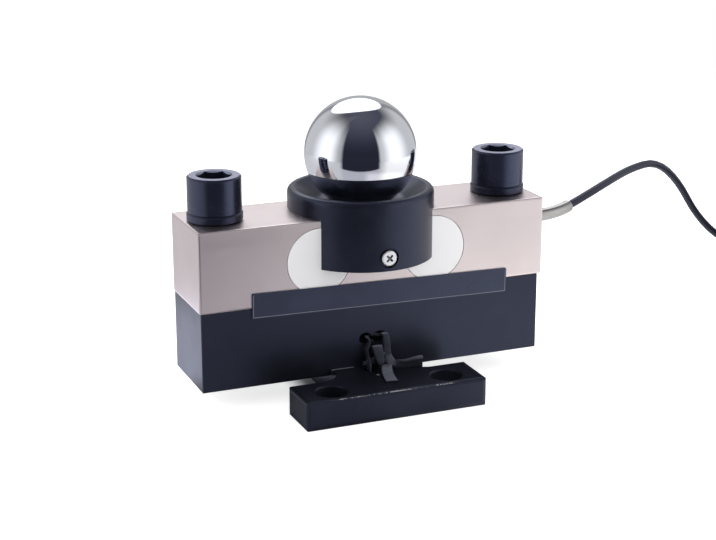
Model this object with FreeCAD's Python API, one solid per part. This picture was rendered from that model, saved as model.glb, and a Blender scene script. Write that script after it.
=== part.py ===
"""Bridge type shear beam load cell with a load ball, all sizes in millimetres.

The beam lies along X and its signal cable leaves the +X end. The rear is +Y and up is +Z.
The origin is on the floor, below the middle of the beam.
"""
import FreeCAD
import Part

import math
import os

# Shear beam, the ground steel bar that is measured
beam_length = 207.2
beam_depth = 49.0
beam_height = 45.5
beam_edge = 0.35

# Gauge pockets in both long faces, each closed by a flush disc
pocket_spacing = 69.0
pocket_diameter = 35.0
pocket_depth = 17.0
cover_diameter = 38.0
cover_thickness = 1.5
cover_gap = 0.4
gauge_size = 12.0
gauge_thickness = 0.4

# Drilled wire ways inside the beam
wire_way_inset = 8.0
cable_way_diameter = 5.6
link_way_diameter = 3.5
web_way_diameter = 3.0
web_way_rise = 13.0
wire_gap = 0.25

# Converter board in the rear pocket at the cable end
board_diameter = 33.0
board_thickness = 1.6
board_standoff = 6.0
spacer_diameter = 3.0
spacer_ring = 26.5
spacer_count = 3
chip_size = 10.0
chip_thickness = 1.4
terminal_length = 12.0
terminal_width = 4.0
terminal_height = 3.0
terminal_rise = 9.0

# Base block below the beam, cleared in the middle so that the beam can bend
base_length = 204.5
base_height = 45.0
base_shift = -0.9
base_edge = 0.4
relief_length = 124.0
relief_depth = 3.0

# T-shaped locating plate, with a tongue that fits a slot under the base
plate_thickness = 16.0
plate_shift = -6.0
plate_edge = 0.5
bar_length = 106.0
bar_depth = 28.5
bar_gap = 15.9
neck_width = 44.0
neck_fillet = 11.0
tongue_setback = 2.0
slot_depth = 3.5
slot_gap = 0.25
plate_hole_spacing = 68.3
plate_hole_setback = 12.5
plate_hole_diameter = 17.5
plate_hole_edge = 0.8

# Socket head bolts that clamp the beam ends to the base
bolt_spacing = 172.2
bolt_diameter = 20.0
bolt_length = 80.0
bolt_head_diameter = 30.0
bolt_head_height = 20.0
bolt_head_edge = 0.9
bolt_tip_edge = 1.5
socket_width = 17.0
socket_depth = 10.0
socket_mouth_gap = 0.3
socket_mouth_degrees = 30.0
socket_turns = {"left": -17.0, "right": -27.0}
bolt_clearance = 1.0
thread_gap = 0.15
tap_runout = 4.0

# Split spring washers under the bolt heads, left a little open
washer_outer = 31.0
washer_gap = 0.4
washer_thickness = 5.0
washer_lift = 0.4
washer_split_degrees = 9.0
washer_edge = 0.9

# Load ball and the hardened cup that it rolls in
ball_diameter = 63.5
ball_gap = 0.05
seat_diameter = 30.0
seat_thickness = 8.0
seat_gap = 0.05
cup_radius = 70.0
cup_depth = 1.5

# Moulded collar round the ball, straddling the beam with a skirt at the front and the rear
collar_diameter = 83.0
collar_rise = 11.5
collar_drop = 27.8
collar_wall = 4.0
collar_floor = 2.5
collar_hole_diameter = 34.0
collar_floor_diameter = 48.0
collar_rim = 4.2
collar_round = 3.2
bowl_round = 2.2
bowl_foot_round = 8.0
collar_gap = 0.1
collar_boss_diameter = 14.0
collar_screw_drop = 20.4

# Cross recess screws that hold the skirts to the beam
screw_diameter = 4.0
screw_bite = 5.0
screw_head_diameter = 8.6
screw_head_height = 2.6
screw_head_edge = 0.5
screw_head_sink = 2.0
screw_gap = 0.15
screw_seat_gap = 1.4
recess_length = 4.8
recess_width = 1.3
recess_depth = 1.5
recess_turns = (45.0, 135.0)

# Nameplate across the joint of beam and base
nameplate_length = 154.6
nameplate_height = 14.2
nameplate_thickness = 0.8
nameplate_shift = 3.2
nameplate_rise = 0.2
nameplate_tilt_degrees = 1.0
nameplate_corner = 0.8

# Cable gland in the beam end, with its nut and rubber seal
gland_thread_diameter = 9.6
gland_thread_length = 9.0
gland_flange_width = 13.0
gland_flange_length = 4.0
gland_spigot_diameter = 8.4
gland_spigot_length = 6.0
gland_bore_gap = 0.3
gland_gap = 0.2
nut_width = 12.5
nut_length = 9.0
nut_wall = 2.0
seal_gap = 0.1

# Signal cable, its metal sleeve and the route of the stretch that is not coiled
cable_diameter = 5.0
sleeve_wall = 1.2
sleeve_gap = 0.1
sleeve_end_share = 0.48
exit_runs = (1.0, 31.0)
route_beyond_end = (
    (57.0, 30.0, 84.0),
    (86.0, 49.0, 87.0),
    (118.0, 74.0, 87.5),
    (150.0, 93.0, 86.0),
    (177.0, 106.0, 67.0),
    (200.0, 116.0, 37.5),
    (229.0, 123.0, 13.5),
    (266.3, 122.0, 3.4),
)

# Coil of spare cable on the floor, with its ties and its open end
coil_advance = 15.7
coil_nest = 0.5
coil_mid_diameter = 86.0
coil_columns = 7
coil_layers = 7
coil_tie_thickness = 1.0
coil_tie_width = 6.0
coil_tie_turns = (20.0, 200.0)
tail_length = 22.0
end_sleeve_diameter = 6.2
end_sleeve_length = 14.0
tail_turn = -70.0
lead_diameter = 1.3
lead_length = 30.0
lead_spread_degrees = 7.0
lead_pitch = 1.4
lead_gap = 0.15
lead_names = ("lead_red", "lead_black", "lead_green", "lead_white")

# Flat woven tie that ties the plate to the base for transport
strap_width = 4.6
strap_thickness = 1.2
strap_round = 1.6
tie_shift = -3.0
tie_spread = 10.0
tie_height = 19.5
tie_hole_diameter = 6.6
tie_hole_spread = 8.0
tie_hole_degrees = 35.0
tie_reach = 8.0
tie_stand_off = 1.4
tie_gap = 0.05
plate_tie_hole = 6.8
plate_tie_groove = 2.4
knot_height = 10.5
knot_width = 4.6
tail_right_length = 22.0
tail_front_length = 22.0

# Heights and faces that follow from the sizes above
base_bottom = plate_thickness - slot_depth
base_top = base_bottom + base_height
beam_top = base_top + beam_height
beam_mid = base_top + beam_height / 2
front_face = -beam_depth / 2
rear_face = beam_depth / 2
beam_end = beam_length / 2
head_seat = beam_top + washer_thickness + washer_lift
bar_rear = front_face - bar_gap
web_face = rear_face - pocket_depth
wire_way_offset = rear_face - wire_way_inset
washer_inner = bolt_diameter + 2 * washer_gap
sleeve_bore = cable_diameter + 2 * sleeve_gap
sleeve_outer = sleeve_bore + 2 * sleeve_wall
coil_bottom = coil_tie_thickness
coil_half = coil_columns * cable_diameter / 2
coil_inner = coil_mid_diameter / 2 - coil_half
coil_outer = coil_mid_diameter / 2 + coil_half
coil_corner = cable_diameter
coil_height = coil_layers * cable_diameter
coil_top = coil_bottom + coil_height
board_face = web_face + board_standoff
outer_board_face = board_face + board_thickness

X_AXIS = FreeCAD.Vector(1, 0, 0)
Y_AXIS = FreeCAD.Vector(0, 1, 0)
Z_AXIS = FreeCAD.Vector(0, 0, 1)
SIDES = (("left", -1), ("right", 1))
FACES = (("front", -1), ("rear", 1))


def point(x, y, z):
    return FreeCAD.Vector(x, y, z)


def block(x_span, y_span, z_span):
    """A box between two values on each axis."""
    low, high = zip(x_span, y_span, z_span)
    size = [b - a for a, b in zip(low, high)]
    return Part.makeBox(*size, point(*low))


def centred_block(centre, size):
    spans = [(c - s / 2, c + s / 2) for c, s in zip(centre, size)]
    return block(*spans)


def rod(diameter, start, end):
    axis = end - start
    return Part.makeCylinder(diameter / 2, axis.Length, start, axis)


def hex_prism(across_flats, start, axis, length):
    """A hexagonal prism along a unit axis, with two of its flats level."""
    corner = across_flats / 2 / math.cos(math.pi / 6)
    across = axis.cross(Y_AXIS if abs(axis.z) > 0.5 else Z_AXIS)
    turn = FreeCAD.Rotation(axis, 60)
    spoke = across * corner
    corners = []
    for _ in range(6):
        corners.append(start + spoke)
        spoke = turn.multVec(spoke)
    face = Part.Face(Part.makePolygon(corners + corners[:1]))
    return face.extrude(axis * length)


def revolved(outline, centre, axis):
    """A solid turned about an axis, from edges that close in a half plane."""
    face = Part.Face(Part.Wire(Part.__sortEdges__(outline)))
    return face.revolve(centre, axis, 360)


def line(start, end):
    return Part.LineSegment(start, end).toShape()


def lines(corners):
    return [line(a, b) for a, b in zip(corners, corners[1:])]


def bend_radii(points):
    """The largest radius that the two runs at each inner point allow."""
    radii = []
    for before, corner, after in zip(points, points[1:], points[2:]):
        turn = (corner - before).getAngle(after - corner)
        shorter = min((corner - before).Length, (after - corner).Length)
        radii.append(0.45 * shorter / math.tan(turn / 2))
    return radii


def rounded_path(points, radii):
    """Straight runs through the points, joined by tangent arcs of the given radii."""
    edges = []
    start = points[0]
    for before, corner, after, radius in zip(points, points[1:], points[2:], radii):
        into = (corner - before).normalize()
        out = (after - corner).normalize()
        half_turn = into.getAngle(out) / 2
        reach = radius * math.tan(half_turn)
        inward = (out - into).normalize()
        arc_middle = corner + inward * (radius / math.cos(half_turn) - radius)
        arc_end = corner + out * reach
        edges.append(line(start, corner - into * reach))
        edges.append(Part.Arc(corner - into * reach, arc_middle, arc_end).toShape())
        start = arc_end
    edges.append(line(start, points[-1]))
    return edges


def pipe(diameter, edges):
    """A round tube along a path of joined edges."""
    path = Part.Wire(edges)
    start = edges[0].Vertexes[0].Point
    ring = Part.Circle(start, edges[0].tangentAt(edges[0].FirstParameter), diameter / 2)
    return path.makePipeShell([Part.Wire(ring.toShape())], True, False)


def band(points, across, width=strap_width):
    """A flat strap along a path that bends only about the direction across."""
    edges = rounded_path(points, [strap_round] * (len(points) - 2))
    ahead = (points[1] - points[0]).normalize()
    side = across * (width / 2)
    up = ahead.cross(across) * (strap_thickness / 2)
    start = points[0]
    corners = [start + side + up, start - side + up, start - side - up, start + side - up]
    profile = Part.makePolygon(corners + corners[:1])
    return Part.Wire(edges).makePipeShell([profile], True, False)


def bolt_places():
    return [(side, sign * bolt_spacing / 2) for side, sign in SIDES]


def pocket_places():
    """Name, middle in X and outward direction in Y of each gauge pocket."""
    places = []
    for face, outward in FACES:
        for side, sign in SIDES:
            places.append((f"{face}_{side}", sign * pocket_spacing / 2, outward))
    return places


def beam():
    body = centred_block((0, 0, beam_mid), (beam_length, beam_depth, beam_height))
    body = body.makeChamfer(beam_edge, body.Edges)
    for _, x in bolt_places():
        hole = bolt_diameter + 2 * bolt_clearance
        body = body.cut(rod(hole, point(x, 0, base_top), point(x, 0, beam_top)))
    for _, x, outward in pocket_places():
        mouth = point(x, outward * rear_face, beam_mid)
        seat = mouth - Y_AXIS * outward * cover_thickness
        floor = mouth - Y_AXIS * outward * pocket_depth
        body = body.cut(rod(cover_diameter, seat, mouth))
        body = body.cut(rod(pocket_diameter, floor, mouth))
    seat_floor = point(0, 0, beam_top - seat_thickness)
    body = body.cut(rod(seat_diameter, seat_floor, point(0, 0, beam_top)))
    return cut_wire_ways(cut_screw_holes(body))


def cut_screw_holes(body):
    height = beam_top - collar_screw_drop
    for _, outward in FACES:
        mouth = point(0, outward * rear_face, height)
        floor = mouth - Y_AXIS * outward * (screw_bite + screw_gap)
        body = body.cut(rod(screw_diameter + 2 * screw_gap, floor, mouth))
    return body


def cut_wire_ways(body):
    middle = pocket_spacing / 2
    end = point(beam_end, wire_way_offset, beam_mid)
    inner = point(beam_end - gland_thread_length, wire_way_offset, beam_mid)
    right_pocket = point(middle, wire_way_offset, beam_mid)
    left_pocket = point(-middle, wire_way_offset, beam_mid)
    body = body.cut(rod(gland_thread_diameter + 2 * gland_gap, inner, end))
    body = body.cut(rod(cable_way_diameter, right_pocket, end))
    body = body.cut(rod(link_way_diameter, left_pocket, right_pocket))
    for _, sign in SIDES:
        x = sign * middle
        front = point(x, -web_face, beam_mid + web_way_rise)
        body = body.cut(rod(web_way_diameter, front, point(x, web_face, beam_mid + web_way_rise)))
    return body


def pocket_cover(x, outward):
    mouth = point(x, outward * rear_face, beam_mid)
    return rod(cover_diameter - 2 * cover_gap, mouth - Y_AXIS * outward * cover_thickness, mouth)


def strain_gauge(x, outward):
    """A foil gauge bonded at 45 degrees in the middle of the shear web."""
    middle = outward * (web_face + gauge_thickness / 2)
    pad = centred_block((x, middle, beam_mid), (gauge_size, gauge_thickness, gauge_size))
    return pad.rotate(point(x, middle, beam_mid), Y_AXIS, 45)


def board_middle(y):
    return point(pocket_spacing / 2, y, beam_mid)


def circuit_board():
    return rod(board_diameter, board_middle(board_face), board_middle(outer_board_face))


def board_spacers():
    spacers = []
    for index in range(spacer_count):
        turn = math.radians(30 + 360 * index / spacer_count)
        offset = point(math.cos(turn), 0, math.sin(turn)) * (spacer_ring / 2)
        foot = board_middle(web_face) + offset
        spacers.append(rod(spacer_diameter, foot, board_middle(board_face) + offset))
    return Part.Compound(spacers)


def converter_chip():
    centre = board_middle(outer_board_face + chip_thickness / 2)
    return centred_block(centre, (chip_size, chip_thickness, chip_size))


def terminal_strip():
    centre = board_middle(outer_board_face + terminal_height / 2) + Z_AXIS * terminal_rise
    return centred_block(centre, (terminal_length, terminal_height, terminal_width))


def link_wires():
    """Wires from the far pocket to the board, lying in the drilled way between them."""
    board_edge = pocket_spacing / 2 - board_diameter / 2
    start = point(-pocket_spacing / 2, wire_way_offset, beam_mid)
    end = point(board_edge - wire_gap, wire_way_offset, beam_mid)
    return rod(link_way_diameter - 2 * wire_gap, start, end)


def signal_wires():
    """Cores of the cable between the board and the inner end of the gland."""
    board_edge = pocket_spacing / 2 + board_diameter / 2
    start = point(board_edge + wire_gap, wire_way_offset, beam_mid)
    end = point(beam_end - gland_thread_length, wire_way_offset, beam_mid)
    return rod(cable_way_diameter - 2 * wire_gap, start, end)


def web_wires():
    """Wires of the front gauges, passing through both webs to the rear pockets."""
    rods = []
    for _, sign in SIDES:
        start = point(sign * pocket_spacing / 2, -web_face, beam_mid + web_way_rise)
        end = point(start.x, web_face, start.z)
        rods.append(rod(web_way_diameter - 2 * wire_gap, start, end))
    return Part.Compound(rods)


def base_block():
    middle = (base_shift, 0, (base_bottom + base_top) / 2)
    body = centred_block(middle, (base_length, beam_depth, base_height))
    body = body.makeChamfer(base_edge, body.Edges)
    relief_floor = base_top - relief_depth
    through = (front_face, rear_face)
    relief = (-relief_length / 2, relief_length / 2)
    body = body.cut(block(relief, through, (relief_floor, base_top)))
    half_slot = neck_width / 2 + slot_gap
    slot = (plate_shift - half_slot, plate_shift + half_slot)
    body = body.cut(block(slot, through, (base_bottom, plate_thickness)))
    tap_floor = head_seat - bolt_length - tap_runout
    for _, x in bolt_places():
        tapped = rod(bolt_diameter + 2 * thread_gap, point(x, 0, tap_floor), point(x, 0, base_top))
        body = body.cut(tapped)
    return cut_tie_holes(body)


def tie_hole_meet():
    """Where the two slanting tie holes meet inside the base."""
    depth = tie_hole_spread / 2 / math.tan(math.radians(tie_hole_degrees))
    return point(tie_shift, front_face + depth, base_bottom + tie_height)


def cut_tie_holes(body):
    meet = tie_hole_meet()
    for _, sign in SIDES:
        mouth = point(tie_shift + sign * tie_hole_spread / 2, front_face, meet.z)
        slant = (mouth - meet).normalize()
        inner = meet - slant * tie_hole_diameter / 2
        body = body.cut(rod(tie_hole_diameter, inner, mouth + slant * tie_hole_diameter))
    return body


def locating_plate():
    """A T in plan: a bar with two bolt holes, a filleted neck and a tongue below the base."""
    half_bar = bar_length / 2
    half_neck = neck_width / 2
    tongue_end = rear_face - tongue_setback
    corners = [
        (-half_bar, bar_rear - bar_depth),
        (half_bar, bar_rear - bar_depth),
        (half_bar, bar_rear),
        (half_neck, bar_rear),
        (half_neck, tongue_end),
        (-half_neck, tongue_end),
        (-half_neck, bar_rear),
        (-half_bar, bar_rear),
    ]
    outline = [point(plate_shift + x, y, 0) for x, y in corners]
    body = Part.Face(Part.makePolygon(outline + outline[:1])).extrude(Z_AXIS * plate_thickness)
    inner_corners = [outline[3], outline[6]]
    upright = [e for e in body.Edges if is_upright_at(e, inner_corners)]
    body = body.makeFillet(neck_fillet, upright)
    body = body.makeChamfer(plate_edge, bar_rim(body))
    for sign in (-1, 1):
        x = plate_shift + sign * plate_hole_spacing / 2
        body = body.cut(plate_hole(x, bar_rear - bar_depth + plate_hole_setback))
    return cut_plate_tie_ways(body)


def is_upright_at(edge, corners):
    """Whether an edge stands at one of the given corners of the outline."""
    ends = [v.Point for v in edge.Vertexes]
    level = math.hypot(ends[0].x - ends[-1].x, ends[0].y - ends[-1].y)
    return level < 1e-6 and any(math.hypot(ends[0].x - c.x, ends[0].y - c.y) < 1e-6 for c in corners)


def bar_rim(body):
    """Edges round the bar's top and its outer corners, which are ground smooth."""
    rim = []
    for edge in body.Edges:
        middle = edge.CenterOfMass
        outside = middle.y < bar_rear + 1e-6 and abs(middle.x - plate_shift) > neck_width / 2 + neck_fillet
        front = middle.y < bar_rear - bar_depth + 1e-6
        if (outside or front) and middle.z > 1e-6:
            rim.append(edge)
    return rim


def plate_hole(x, y):
    """A bolt hole with a small countersunk rim, as the solid to take away."""
    radius = plate_hole_diameter / 2
    corners = [
        point(x, y, 0),
        point(x + radius, y, 0),
        point(x + radius, y, plate_thickness - plate_hole_edge),
        point(x + radius + plate_hole_edge, y, plate_thickness),
        point(x, y, plate_thickness),
    ]
    return revolved(lines(corners + corners[:1]), point(x, y, 0), Z_AXIS)


def tie_line():
    """The y of the strap where it passes down through the neck of the plate."""
    return front_face - tie_reach


def cut_plate_tie_ways(body):
    half = tie_spread / 2
    for sign in (-1, 1):
        x = tie_shift + sign * half
        top = point(x, tie_line(), plate_thickness)
        body = body.cut(rod(plate_tie_hole, point(x, tie_line(), 0), top))
    groove = (tie_shift - half, tie_shift + half)
    across = (tie_line() - plate_tie_hole / 2, tie_line() + plate_tie_hole / 2)
    return body.cut(block(groove, across, (0, plate_tie_groove)))


def key_socket(x, head_top, turn):
    """The hexagon socket with its drill point and countersunk mouth, as the solid to take away."""
    prism = hex_prism(socket_width, point(x, 0, head_top - socket_depth), Z_AXIS, socket_depth)
    prism.rotate(point(x, 0, 0), Z_AXIS, turn)
    slope = math.tan(math.radians(socket_mouth_degrees))
    inside = socket_width / 2
    drill_depth = inside * slope
    drill_point = Part.makeCone(0, inside, drill_depth, point(x, 0, head_top - socket_depth - drill_depth))
    outside = inside / math.cos(math.pi / 6) + socket_mouth_gap
    mouth_depth = (outside - inside) * slope
    mouth = Part.makeCone(inside, outside, mouth_depth, point(x, 0, head_top - mouth_depth))
    return prism.fuse(drill_point).fuse(mouth)


def bolt(x, turn):
    """A socket head cap screw with chamfered head and tip, its socket turned as it was tightened."""
    tip = head_seat - bolt_length
    head_top = head_seat + bolt_head_height
    head = rod(bolt_head_diameter, point(x, 0, head_seat), point(x, 0, head_top))
    head = head.makeChamfer(bolt_head_edge, [e for e in head.Edges if e.CenterOfMass.z > head_top - 1e-6])
    shank = rod(bolt_diameter, point(x, 0, tip), point(x, 0, head_seat))
    shank = shank.makeChamfer(bolt_tip_edge, [e for e in shank.Edges if e.CenterOfMass.z < tip + 1e-6])
    return head.fuse(shank).cut(key_socket(x, head_top, turn)).removeSplitter()


def spring_washer(x):
    """A split ring of wire with blunt outer edges, wound a little open like a single spring coil."""
    turned = 1 - washer_split_degrees / 360
    radius = (washer_outer + washer_inner) / 4
    half_wire = (washer_outer - washer_inner) / 4
    path = Part.makeHelix(washer_lift, washer_lift * turned, radius)
    corners = [
        point(radius - half_wire, 0, 0),
        point(radius + half_wire - washer_edge, 0, 0),
        point(radius + half_wire, 0, washer_edge),
        point(radius + half_wire, 0, washer_thickness - washer_edge),
        point(radius + half_wire - washer_edge, 0, washer_thickness),
        point(radius - half_wire, 0, washer_thickness),
    ]
    ring = Part.Wire(path).makePipeShell([Part.makePolygon(corners + corners[:1])], True, True)
    ring.rotate(point(0, 0, 0), Z_AXIS, 90 + washer_split_degrees / 2)
    ring.translate(point(x, 0, beam_top))
    return ring


def cup_floor():
    return beam_top - cup_depth


def ball():
    radius = ball_diameter / 2
    return Part.makeSphere(radius, point(0, 0, cup_floor() + ball_gap + radius))


def ball_seat():
    foot = point(0, 0, beam_top - seat_thickness)
    body = rod(seat_diameter - 2 * seat_gap, foot, point(0, 0, beam_top))
    return body.cut(Part.makeSphere(cup_radius, point(0, 0, cup_floor() + cup_radius)))


def ball_collar():
    """A turned bowl on the beam, with a skirt wall below it that the beam's slot cuts in two."""
    outer = collar_diameter / 2
    inner = outer - collar_wall
    hole = collar_hole_diameter / 2
    top = beam_top + collar_rise
    floor = beam_top + collar_floor
    foot = beam_top - collar_drop
    over_the_rim = [
        point(outer, 0, foot),
        point(outer, 0, top),
        point(outer - collar_rim, 0, top),
        point(collar_floor_diameter / 2, 0, floor),
        point(hole, 0, floor),
    ]
    outline = rounded_path(over_the_rim, [collar_round, bowl_round, bowl_foot_round])
    outline += lines([
        point(hole, 0, floor),
        point(hole, 0, beam_top),
        point(inner, 0, beam_top),
        point(inner, 0, foot),
        point(outer, 0, foot),
    ])
    body = revolved(outline, point(0, 0, 0), Z_AXIS)
    body = fuse_screw_bosses(body)
    half_slot = beam_depth / 2 + collar_gap
    below = foot - collar_boss_diameter
    slot = block((-outer, outer), (-half_slot, half_slot), (below, beam_top))
    return cut_screw_seats(body.cut(slot)).removeSplitter()


def fuse_screw_bosses(body):
    height = beam_top - collar_screw_drop
    reach = collar_diameter / 2 - collar_wall / 2
    return body.fuse(rod(collar_boss_diameter, point(0, -reach, height), point(0, reach, height)))


def screw_seat():
    """Distance of the screw heads' seats from the beam's middle plane."""
    return collar_diameter / 2 - screw_head_sink


def cut_screw_seats(body):
    height = beam_top - collar_screw_drop
    for _, outward in FACES:
        seat = point(0, outward * screw_seat(), height)
        outside = point(0, outward * collar_diameter / 2, height)
        body = body.cut(rod(screw_head_diameter + 2 * screw_seat_gap, seat, outside))
        body = body.cut(rod(screw_diameter + 2 * screw_gap, point(0, 0, height), seat))
    return body


def collar_screw(outward):
    """A pan head screw with a cross recess, through the skirt's boss into the beam."""
    height = beam_top - collar_screw_drop
    away = Y_AXIS * outward
    seat = point(0, outward * screw_seat(), height)
    crown = seat + away * screw_head_height
    tip = point(0, outward * (rear_face - screw_bite), height)
    head = rod(screw_head_diameter, seat, crown)
    rim = [e for e in head.Edges if abs(e.CenterOfMass.y - crown.y) < 1e-6]
    head = head.makeChamfer(screw_head_edge, rim)
    body = head.fuse(rod(screw_diameter, tip, seat))
    recess_middle = crown - away * recess_depth / 2
    for turn in recess_turns:
        slot = centred_block(recess_middle, (recess_length, recess_depth, recess_width))
        body = body.cut(slot.rotate(recess_middle, Y_AXIS, turn))
    return body.removeSplitter()


def nameplate():
    """A thin plate with rounded corners, stuck on at a slight tilt."""
    middle = point(nameplate_shift, front_face - nameplate_thickness / 2, base_top + nameplate_rise)
    plate = centred_block(middle, (nameplate_length, nameplate_thickness, nameplate_height))
    corners = [e for e in plate.Edges if abs(e.Length - nameplate_thickness) < 1e-6]
    return plate.makeFillet(nameplate_corner, corners).rotate(middle, Y_AXIS, nameplate_tilt_degrees)


def gland_axis(x):
    return point(x, wire_way_offset, beam_mid)


def nut_start():
    return beam_end + gland_flange_length + gland_gap


def cable_gland():
    """Threaded body with a hexagon flange and a spigot for the nut, bored for the cable."""
    inner = beam_end - gland_thread_length
    spigot_end = beam_end + gland_flange_length + gland_spigot_length
    body = rod(gland_thread_diameter, gland_axis(inner), gland_axis(beam_end))
    body = body.fuse(hex_prism(gland_flange_width, gland_axis(beam_end), X_AXIS, gland_flange_length))
    body = body.fuse(rod(gland_spigot_diameter, gland_axis(beam_end), gland_axis(spigot_end)))
    bore = rod(cable_diameter + 2 * gland_bore_gap, gland_axis(inner), gland_axis(spigot_end))
    return body.cut(bore).removeSplitter()


def nut_room_end():
    return nut_start() + nut_length - nut_wall


def gland_nut():
    start = nut_start()
    body = hex_prism(nut_width, gland_axis(start), X_AXIS, nut_length)
    room = gland_spigot_diameter + 2 * gland_gap
    body = body.cut(rod(room, gland_axis(start), gland_axis(nut_room_end())))
    bore = sleeve_outer + 2 * sleeve_gap
    return body.cut(rod(bore, gland_axis(start), gland_axis(start + nut_length)))


def gland_seal():
    """Rubber ring squeezed between the spigot and the nut's end wall."""
    start = beam_end + gland_flange_length + gland_spigot_length
    outside = rod(gland_spigot_diameter, gland_axis(start), gland_axis(nut_room_end()))
    bore = cable_diameter + 2 * seal_gap
    return outside.cut(rod(bore, gland_axis(start), gland_axis(nut_room_end())))


def cable_route():
    """Straight out of the gland first, then hand-chosen points past the beam's end, down to the floor."""
    straight = [gland_axis(beam_end + run) for run in exit_runs]
    return straight + [point(beam_end + x, y, z) for x, y, z in route_beyond_end]


def cable_sleeve():
    """A bent metal tube over the first stretch of cable, held in the gland nut."""
    route = cable_route()
    first_run = (route[1] - route[0]).normalize()
    start = route[0] + first_run * (nut_room_end() - route[0].x)
    end = route[1] + (route[2] - route[1]) * sleeve_end_share
    radius = bend_radii(route)[0]
    path = rounded_path([start, route[1], end], [radius])
    return pipe(sleeve_outer, path).cut(pipe(sleeve_bore, path))


def cable():
    route = cable_route()
    radii = bend_radii(route)
    print("cable bend radii", [round(r, 1) for r in radii])
    return pipe(cable_diameter, rounded_path(route, radii))


def coil_middle(z):
    """A point on the coil's axis, which lies so that the cable's end runs along the coil's rim."""
    end = cable_route()[-1]
    return point(end.x + coil_advance, end.y + coil_nest - coil_outer, z)


def coil_ring(growth):
    """The coil's outer shape, grown by a little for the ties that go round it."""
    section = [
        point(coil_inner - growth, 0, coil_bottom - growth),
        point(coil_outer + growth, 0, coil_bottom - growth),
        point(coil_outer + growth, 0, coil_top + growth),
        point(coil_inner - growth, 0, coil_top + growth),
    ]
    ring = revolved(lines(section + section[:1]), point(0, 0, 0), Z_AXIS)
    ring = ring.makeChamfer(coil_corner + growth * (2 - math.sqrt(2)), ring.Edges)
    ring.translate(coil_middle(0))
    return ring


def cable_coil():
    return coil_ring(0).cut(Part.Compound(coil_ties()))


def coil_ties():
    """Flat bands round the coil, each a slice of the coil's shape with the coil taken out."""
    shell = coil_ring(coil_tie_thickness).cut(coil_ring(0))
    middle = coil_middle(coil_top / 2)
    reach = coil_mid_diameter / 2
    ties = []
    for turn in coil_tie_turns:
        size = (coil_mid_diameter, coil_tie_width, 2 * coil_height)
        slice_box = centred_block(middle + X_AXIS * reach, size)
        ties.append(shell.common(slice_box.rotate(middle, Z_AXIS, turn)))
    return ties


def tail_frame():
    """Start and direction of the open cable end, which lies along the top of the coil."""
    turn = FreeCAD.Rotation(Z_AXIS, tail_turn)
    ahead = turn.multVec(Y_AXIS) * -1
    spoke = turn.multVec(X_AXIS) * (coil_mid_diameter / 2)
    length = tail_length + end_sleeve_length + lead_length
    middle = coil_middle(coil_top + end_sleeve_diameter / 2)
    return middle + spoke - ahead * (length / 2), ahead


def cable_tail():
    start, ahead = tail_frame()
    return rod(cable_diameter, start, start + ahead * tail_length)


def cable_end_sleeve():
    start, ahead = tail_frame()
    near = start + ahead * tail_length
    return rod(end_sleeve_diameter, near, near + ahead * end_sleeve_length)


def cable_leads():
    """The four cores of the cable, fanned out a little from the end sleeve."""
    start, ahead = tail_frame()
    mouth = start + ahead * (tail_length + end_sleeve_length)
    across = ahead.cross(Z_AXIS)
    middle = (len(lead_names) - 1) / 2
    leads = {}
    for index, name in enumerate(lead_names):
        place = index - middle
        aim = FreeCAD.Rotation(Z_AXIS, -place * lead_spread_degrees).multVec(ahead)
        root = mouth + across * (place * lead_pitch) + ahead * lead_gap
        leads[name] = rod(lead_diameter, root, root + aim * lead_length)
    return leads


def tie_strap():
    """One strap through the base and the plate, wrapped at the front, with two cut tails."""
    meet = tie_hole_meet()
    half = tie_spread / 2
    outside = front_face - tie_stand_off
    left = point(tie_shift - half, outside, meet.z)
    right = point(tie_shift + half, outside, meet.z)
    pieces = [band([left, meet, right], Z_AXIS)]
    low = (strap_thickness + plate_tie_groove) / 4
    for _, sign in SIDES:
        x = tie_shift + sign * half
        pieces.append(strand(x, outside, meet.z + strap_width / 2, low))
    ends = (tie_shift - half - strap_width / 2, tie_shift + half + strap_width / 2)
    across = (tie_line() - strap_width / 2, tie_line() + strap_width / 2)
    pieces.append(block(ends, across, (low - strap_thickness / 2, low + strap_thickness / 2)))
    pieces += knot_pieces(outside)
    return pieces[0].multiFuse(pieces[1:]).removeSplitter()


def strand(x, outside, top, low):
    """One side of the loop, down the base's face and through the neck of the plate."""
    bend = plate_thickness + knot_height + knot_width / 2
    path = [
        point(x, outside, top),
        point(x, outside, bend),
        point(x, tie_line(), plate_thickness + strap_round),
        point(x, tie_line(), low),
    ]
    return band(path, X_AXIS)


def knot_pieces(outside):
    """The wrap round both strands, a tail along the base and a tail over the plate."""
    middle_y = (outside + tie_line()) / 2
    height = plate_thickness + knot_height
    half = tie_spread / 2 + strap_width / 2
    reach = (outside - tie_line()) / 2
    size = (2 * half + strap_thickness, 2 * reach, knot_width)
    wrap = centred_block((tie_shift, middle_y, height), size)
    wrap = wrap.makeFillet(strap_round, [e for e in wrap.Edges if abs(e.Length - knot_width) < 1e-6])
    tail_y = tie_line() - strap_thickness
    side_height = plate_thickness + strap_width / 2 + strap_round
    right = band(
        [
            point(tie_shift, middle_y, side_height),
            point(tie_shift + half / 2, tail_y, side_height),
            point(tie_shift + half + tail_right_length, tail_y, side_height),
        ],
        Z_AXIS,
    )
    lying = plate_thickness + strap_thickness / 2 + tie_gap
    front = band(
        [
            point(tie_shift + strap_width, middle_y, height),
            point(tie_shift + strap_width, tail_y - strap_width, lying),
            point(tie_shift + strap_width, tail_y - tail_front_length, lying),
        ],
        X_AXIS,
    )
    return [wrap, right, front]


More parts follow.
